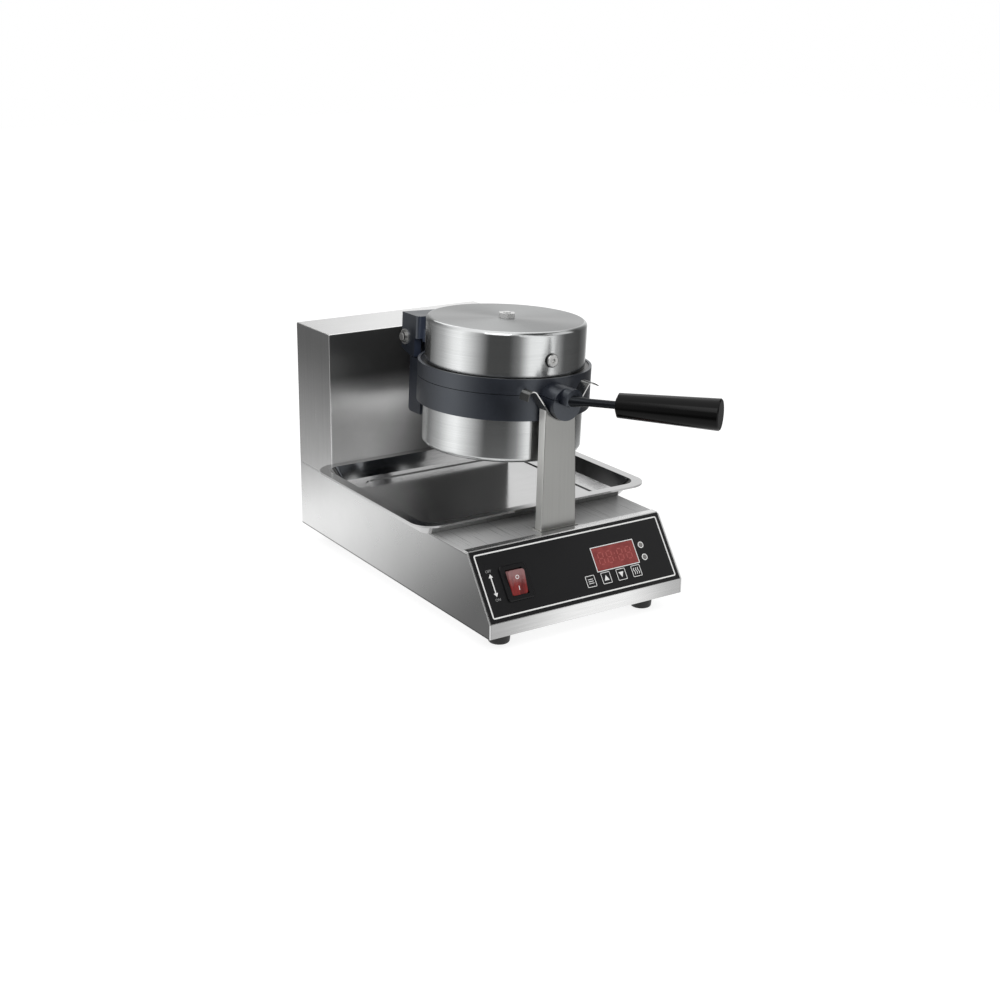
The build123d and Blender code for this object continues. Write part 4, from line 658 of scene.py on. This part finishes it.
class Print:
    """Thin inked shapes on one plane, gathered into one object."""

    def __init__(self, name, material, body, face, middle=(0.0, 0.0), tilt=0.0):
        self.name, self.material, self.body = name, material, body
        self.maker = bmesh.new()
        self.face = face
        turned_up = PANEL_UP * cos(tilt) + PANEL_OUT * sin(tilt)
        turned_out = PANEL_OUT * cos(tilt) - PANEL_UP * sin(tilt)
        self.origin = PANEL_ORIGIN + (PANEL_ACROSS * middle[0] + PANEL_UP * middle[1]) / PER_METRE
        self.axes = (PANEL_ACROSS, turned_up, turned_out)

    def place(self, across, up, out):
        across_way, up_way, out_way = self.axes
        return self.origin + (across_way * across + up_way * up + out_way * out) / PER_METRE

    def shape(self, outline, hole=None):
        """Flat shape, its outline run anticlockwise, with an optional hole of as many corners."""
        low, high = self.face, self.face + INK_DEPTH
        loops = [outline] if hole is None else [outline, hole]
        tops = [[self.maker.verts.new(self.place(x, y, high)) for x, y in loop] for loop in loops]
        feet = [[self.maker.verts.new(self.place(x, y, low)) for x, y in loop] for loop in loops]
        count = len(outline)
        if hole is None:
            self.maker.faces.new(tops[0])
            self.maker.faces.new(feet[0][::-1])
        for i in range(count):
            j = (i + 1) % count
            self.maker.faces.new((feet[0][i], feet[0][j], tops[0][j], tops[0][i]))
            if hole is not None:
                self.maker.faces.new((feet[1][j], feet[1][i], tops[1][i], tops[1][j]))
                self.maker.faces.new((tops[0][i], tops[0][j], tops[1][j], tops[1][i]))
                self.maker.faces.new((feet[0][j], feet[0][i], feet[1][i], feet[1][j]))

    def bar(self, start, end, width):
        """Straight stroke between two points."""
        (x0, y0), (x1, y1) = start, end
        length = hypot(x1 - x0, y1 - y0)
        dx, dy = (x1 - x0) / length * width / 2, (y1 - y0) / length * width / 2
        self.shape([(x0 + dy, y0 - dx), (x1 + dy, y1 - dx), (x1 - dy, y1 + dx), (x0 - dy, y0 + dx)])

    def frame(self, middle, width, height, line, radius):
        """Rounded rectangular outline, its line inside the given size."""
        inner_radius = max(radius - line, LEAST_RADIUS)
        inner = rounded(middle, width - 2 * line, height - 2 * line, inner_radius)
        self.shape(rounded(middle, width, height, radius), inner)

    def ring(self, middle, radius, line):
        self.shape(circle(middle, radius), circle(middle, radius - line))

    def words(self, text, middle, height):
        """Text from the built-in typeface, centred on a point."""
        curve = bpy.data.curves.new(self.name + "_text", "FONT")
        curve.body = text
        curve.size = 1.0
        curve.resolution_u = LETTER_STEPS
        holder = bpy.data.objects.new(self.name + "_text", curve)
        flat = bpy.data.meshes.new_from_object(holder)
        points = [v.co.copy() for v in flat.vertices]
        low_x, high_x = min(p.x for p in points), max(p.x for p in points)
        low_y, high_y = min(p.y for p in points), max(p.y for p in points)
        scale = height / (high_y - low_y)
        lift = self.face + INK_DEPTH
        verts = []
        for p in points:
            across = middle[0] + (p.x - (low_x + high_x) / 2) * scale
            up = middle[1] + (p.y - (low_y + high_y) / 2) * scale
            verts.append(self.maker.verts.new(self.place(across, up, lift)))
        corners = [[verts[i] for i in polygon.vertices] for polygon in flat.polygons]
        faces = [self.maker.faces.new(loop) for loop in corners]
        grown = bmesh.ops.extrude_face_region(self.maker, geom=faces)
        sink = self.axes[2] * (-INK_DEPTH / PER_METRE)
        for item in grown["geom"]:
            if isinstance(item, bmesh.types.BMVert):
                item.co += sink
        bpy.data.objects.remove(holder)
        bpy.data.curves.remove(curve)
        bpy.data.meshes.remove(flat)

    def done(self):
        mesh = bpy.data.meshes.new(self.name)
        bmesh.ops.recalc_face_normals(self.maker, faces=self.maker.faces)
        self.maker.to_mesh(mesh)
        self.maker.free()
        mesh.materials.append(self.material)
        piece = bpy.data.objects.new(self.name, mesh)
        scene.collection.objects.link(piece)
        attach(piece, self.body)


def circle(middle, radius, count=32):
    steps = [2 * pi * n / count for n in range(count)]
    return [(middle[0] + radius * cos(a), middle[1] + radius * sin(a)) for a in steps]


def rounded(middle, width, height, radius, count=6):
    """Rectangle whose corners are arcs of count steps."""
    points = []
    for turn, (sx, sy) in enumerate(((1, -1), (1, 1), (-1, 1), (-1, -1))):
        cx = middle[0] + sx * (width / 2 - radius)
        cy = middle[1] + sy * (height / 2 - radius)
        for n in range(count + 1):
            a = -pi / 2 + turn * pi / 2 + n / count * pi / 2
            points.append((cx + radius * cos(a), cy + radius * sin(a)))
    return points


def draw_digit(digits, middle_x, middle_y):
    """Seven unlit segments."""
    side, half = DIGIT_WIDTH / 2, DIGIT_HEIGHT / 2
    reach = side - SEGMENT
    for level in (-half, 0.0, half):
        y = middle_y + level
        digits.bar((middle_x - reach, y), (middle_x + reach, y), SEGMENT)
    for end in (-1, 1):
        x = middle_x + end * side
        for level in (-1, 1):
            near, far = middle_y + level * SEGMENT_GAP, middle_y + level * (half - SEGMENT_GAP)
            digits.bar((x, near), (x, far), SEGMENT)


def draw_bars(face):
    """Three plain bars in place of a word."""
    for level in (-BAR_STEP, 0.0, BAR_STEP):
        face.bar((-MARK_REACH, level), (MARK_REACH, level), BAR_LINE)


def draw_triangle(face, way=1):
    """Triangle that points up, or down where way is -1."""
    reach, foot = way * MARK_REACH, -way * TRIANGLE_FOOT
    face.shape([(-reach, foot), (reach, foot), (0.0, reach)])


def draw_triangle_down(face):
    draw_triangle(face, -1)


def draw_waves(face):
    """Three plain heat waves."""
    for middle in (-WAVE_STEP, 0.0, WAVE_STEP):
        wave = [
            (middle + WAVE_SWING * sin(n * pi / 4), WAVE_FOOT + n * WAVE_RISE)
            for n in range(WAVE_POINTS)
        ]
        right = [(x + WAVE_HALF_LINE, y) for x, y in wave]
        left = [(x - WAVE_HALF_LINE, y) for x, y in wave[::-1]]
        face.shape(right + left)


white_ink = ink("white_ink", (0.84, 0.84, 0.83), glow=0.22)
grey_ink = ink("grey_ink", (0.36, 0.36, 0.36), glow=0.08)
digit_ink = ink("digit_ink", (0.46, 0.10, 0.09), glow=0.06)

border = Print("panel_border", white_ink, "base", OVERLAY_FACE)
border.frame(middle=(0.0, 39.6), width=237.6, height=69.3, line=1.5, radius=2.2)
border.done()

arrow = Print("switch_arrow", white_ink, "base", OVERLAY_FACE)
arrow.bar((ARROW_X, ARROW_LOW), (ARROW_X, ARROW_HIGH), ARROW_LINE)
for way, end in ((1, ARROW_HIGH), (-1, ARROW_LOW)):
    reach, tip = way * ARROW_HALF, end + way * ARROW_POINT
    arrow.shape([(ARROW_X - reach, end), (ARROW_X + reach, end), (ARROW_X, tip)])
arrow.done()

marks = Print("switch_marks", grey_ink, "base", OVERLAY_FACE)
marks.words("OFF", (-107.3, 54.8), LETTER_HEIGHT)
marks.words("ON", (-106.2, 23.9), LETTER_HEIGHT)
marks.done()

window_frame = Print("window_frame", white_ink, "base", OVERLAY_FACE)
window_frame.frame(WINDOW_MIDDLE, width=57.0, height=27.5, line=0.9, radius=0.6)
window_frame.done()

light_rings = Print("light_rings", white_ink, "base", OVERLAY_FACE)
for row in LIGHT_ROWS:
    light_rings.ring((LIGHT_X, row), radius=3.6, line=1.0)
light_rings.done()

digits = Print("window_digits", digit_ink, "base", WINDOW_FACE)
window_x, window_y = WINDOW_MIDDLE
for column in DIGIT_COLUMNS:
    draw_digit(digits, window_x + column, window_y)
for level in (-COLON_RISE, COLON_RISE):
    digits.shape(circle((window_x, window_y + level), COLON_RADIUS, COLON_CORNERS))
digits.done()

# Keys: (node, body, place across, mark)
KEY_PRINTS = (
    ("set_key", "set_button", 9.7, draw_bars),
    ("up_key", "up_button", 30.0, draw_triangle),
    ("down_key", "down_button", 50.2, draw_triangle_down),
    ("heat_key", "heat_button", 70.3, draw_waves),
)
for key, body, column, draw_mark in KEY_PRINTS:
    face = Print(key + "_face", white_ink, body, KEY_FACE, (column, KEY_ROW))
    face.frame(middle=(0.0, 0.0), width=11.9, height=12.7, line=0.65, radius=1.0)
    draw_mark(face)
    face.done()

rocker_marks = Print("rocker_marks", white_ink, "rocker", ROCKER_FACE, ROCKER_MIDDLE, ROCKER_TILT)
rocker_marks.ring((0.0, 5.4), radius=2.2, line=0.7)
rocker_marks.bar((0.0, -8.2), (0.0, -3.8), width=0.8)
rocker_marks.done()


# Studio seen in gloss: (degrees round from the operator's side towards +X, brightness)
STUDIO = (
    (-180, 0.11), (-156, 0.25), (-131, 0.63), (-111, 1.25), (-99, 1.40), (-86, 1.02),
    (-70, 0.48), (-57, 0.07), (-28, 0.07), (-14, 0.30), (0, 1.20), (20, 1.32), (32, 1.15),
    (44, 0.40), (54, 0.12), (90, 0.08), (115, 0.24), (130, 0.75), (142, 0.95), (151, 0.95),
    (158, 0.40), (180, 0.11),
)
BRIGHTEST = 2.0              # colours hold brightness as a share of this, the strength restores it
FLOOR_SIZE = 6.0
FLOOR_GLOW = 0.80            # what the eye sees on top of the lit grey
FLOOR_GREY = 0.45
TABLE_WHITE = 0.95
TABLE_EDGE = (0.40, 0.66)    # from the middle, where the table seen in gloss gives way to the bands
CEILING = 1.25
CEILING_RISE = (0.50, 0.80)  # how steeply a way has to rise where the ceiling begins, and is full
UPPER_DARK = 0.10
DARK_WAY = (0.511, -0.548, 0.663)
DARK_EDGE = (0.79, 0.885)    # how close to that way the dark begins, and is full
AMBIENT = 0.55
AIM = (0.0, 0.0, 0.15)
# Lamps aimed there: (name, place, size, power)
LAMPS = (
    ("key_lamp", (-1.3, -1.3, 1.9), (1.4, 1.4), 12.0),
    ("fill_lamp", (1.8, -1.2, 1.3), (1.6, 1.6), 6.0),
    ("rear_lamp", (0.6, 1.9, 1.8), (1.6, 1.0), 5.0),
)


def studio_bands(graph, place):
    """Brightness of the studio in the direction of a place, as a colour."""
    around = graph.math("ARCTAN2", place["X"], graph.math("MULTIPLY", place["Y"], -1.0))
    turn = graph.math("ADD", graph.math("DIVIDE", around, 2 * pi), 0.5)
    ramp = graph.add("ShaderNodeValToRGB", {"Fac": turn})
    ramp.color_ramp.interpolation = "LINEAR"
    stops = ramp.color_ramp.elements
    for index, (angle, bright) in enumerate(STUDIO):
        position = angle / 360 + 0.5
        if index in (0, len(STUDIO) - 1):
            stop = stops[-1 if index else 0]
            stop.position = position
        else:
            stop = stops.new(position)
        stop.color = grey(bright / BRIGHTEST)
    return ramp.outputs["Color"]


def stage_floor():
    """White to the eye with the object's soft shadow; in gloss a white table amid the bands."""
    mesh = bpy.data.meshes.new("floor")
    maker = bmesh.new()
    bmesh.ops.create_grid(maker, x_segments=1, y_segments=1, size=FLOOR_SIZE)
    maker.to_mesh(mesh)
    maker.free()
    floor = bpy.data.objects.new("floor", mesh)
    scene.collection.objects.link(floor)
    material = bpy.data.materials.new("floor")
    material.use_nodes = True
    graph = Graph(material.node_tree)
    light_path = graph.add("ShaderNodeLightPath").outputs
    diffuse = graph.add("ShaderNodeBsdfDiffuse", {"Color": grey(FLOOR_GREY)})
    to_the_eye = graph.math("MULTIPLY", light_path["Is Camera Ray"], FLOOR_GLOW)
    glow = graph.add("ShaderNodeEmission", {"Color": grey(1.0), "Strength": to_the_eye})
    seen = graph.add("ShaderNodeAddShader", {0: diffuse.outputs[0], 1: glow.outputs[0]})
    place = graph.parts(graph.object_point())
    squares = [graph.math("MULTIPLY", place[axis], place[axis]) for axis in ("X", "Y")]
    far = graph.spread(graph.math("SQRT", graph.math("ADD", *squares)), *TABLE_EDGE)
    mirrored = graph.mix_colour(far, grey(TABLE_WHITE / BRIGHTEST), studio_bands(graph, place))
    studio = graph.add("ShaderNodeEmission", {"Color": mirrored, "Strength": BRIGHTEST})
    surface = graph.mix_shader(graph.in_gloss(light_path), seen.outputs[0], studio.outputs[0])
    graph.add("ShaderNodeOutputMaterial", {"Surface": surface})
    mesh.materials.append(material)


def make_world():
    """White to the eye, an even ambient for matt surfaces, and the studio in gloss."""
    world = bpy.data.worlds.new("studio")
    world.use_nodes = True
    scene.world = world
    graph = Graph(world.node_tree)
    way = graph.coordinate("Generated")
    parts = graph.parts(way)
    overhead = graph.spread(parts["Z"], *CEILING_RISE)
    sky = graph.mix_colour(overhead, studio_bands(graph, parts), grey(CEILING / BRIGHTEST))
    dark = graph.spread(graph.measure("DOT_PRODUCT", way, DARK_WAY), *DARK_EDGE)
    sky = graph.mix_colour(dark, sky, grey(UPPER_DARK / BRIGHTEST))
    studio = graph.add("ShaderNodeBackground", {"Color": sky, "Strength": BRIGHTEST})
    ambient = graph.add("ShaderNodeBackground", {"Color": grey(1.0), "Strength": AMBIENT})
    white = graph.add("ShaderNodeBackground", {"Color": grey(1.0)})
    light_path = graph.add("ShaderNodeLightPath").outputs
    unseen = graph.mix_shader(graph.in_gloss(light_path), ambient.outputs[0], studio.outputs[0])
    surface = graph.mix_shader(light_path["Is Camera Ray"], unseen, white.outputs[0])
    graph.add("ShaderNodeOutputWorld", {"Surface": surface})


def softbox(name, place, size, power):
    """Area lamp aimed at the object."""
    data = bpy.data.lights.new(name, "AREA")
    data.shape = "RECTANGLE"
    data.size, data.size_y = size
    data.energy = power
    lamp = bpy.data.objects.new(name, data)
    lamp.location = place
    lamp.rotation_euler = (Vector(AIM) - Vector(place)).to_track_quat("-Z", "Y").to_euler()
    scene.collection.objects.link(lamp)


stage_floor()
make_world()
for lamp in LAMPS:
    softbox(*lamp)
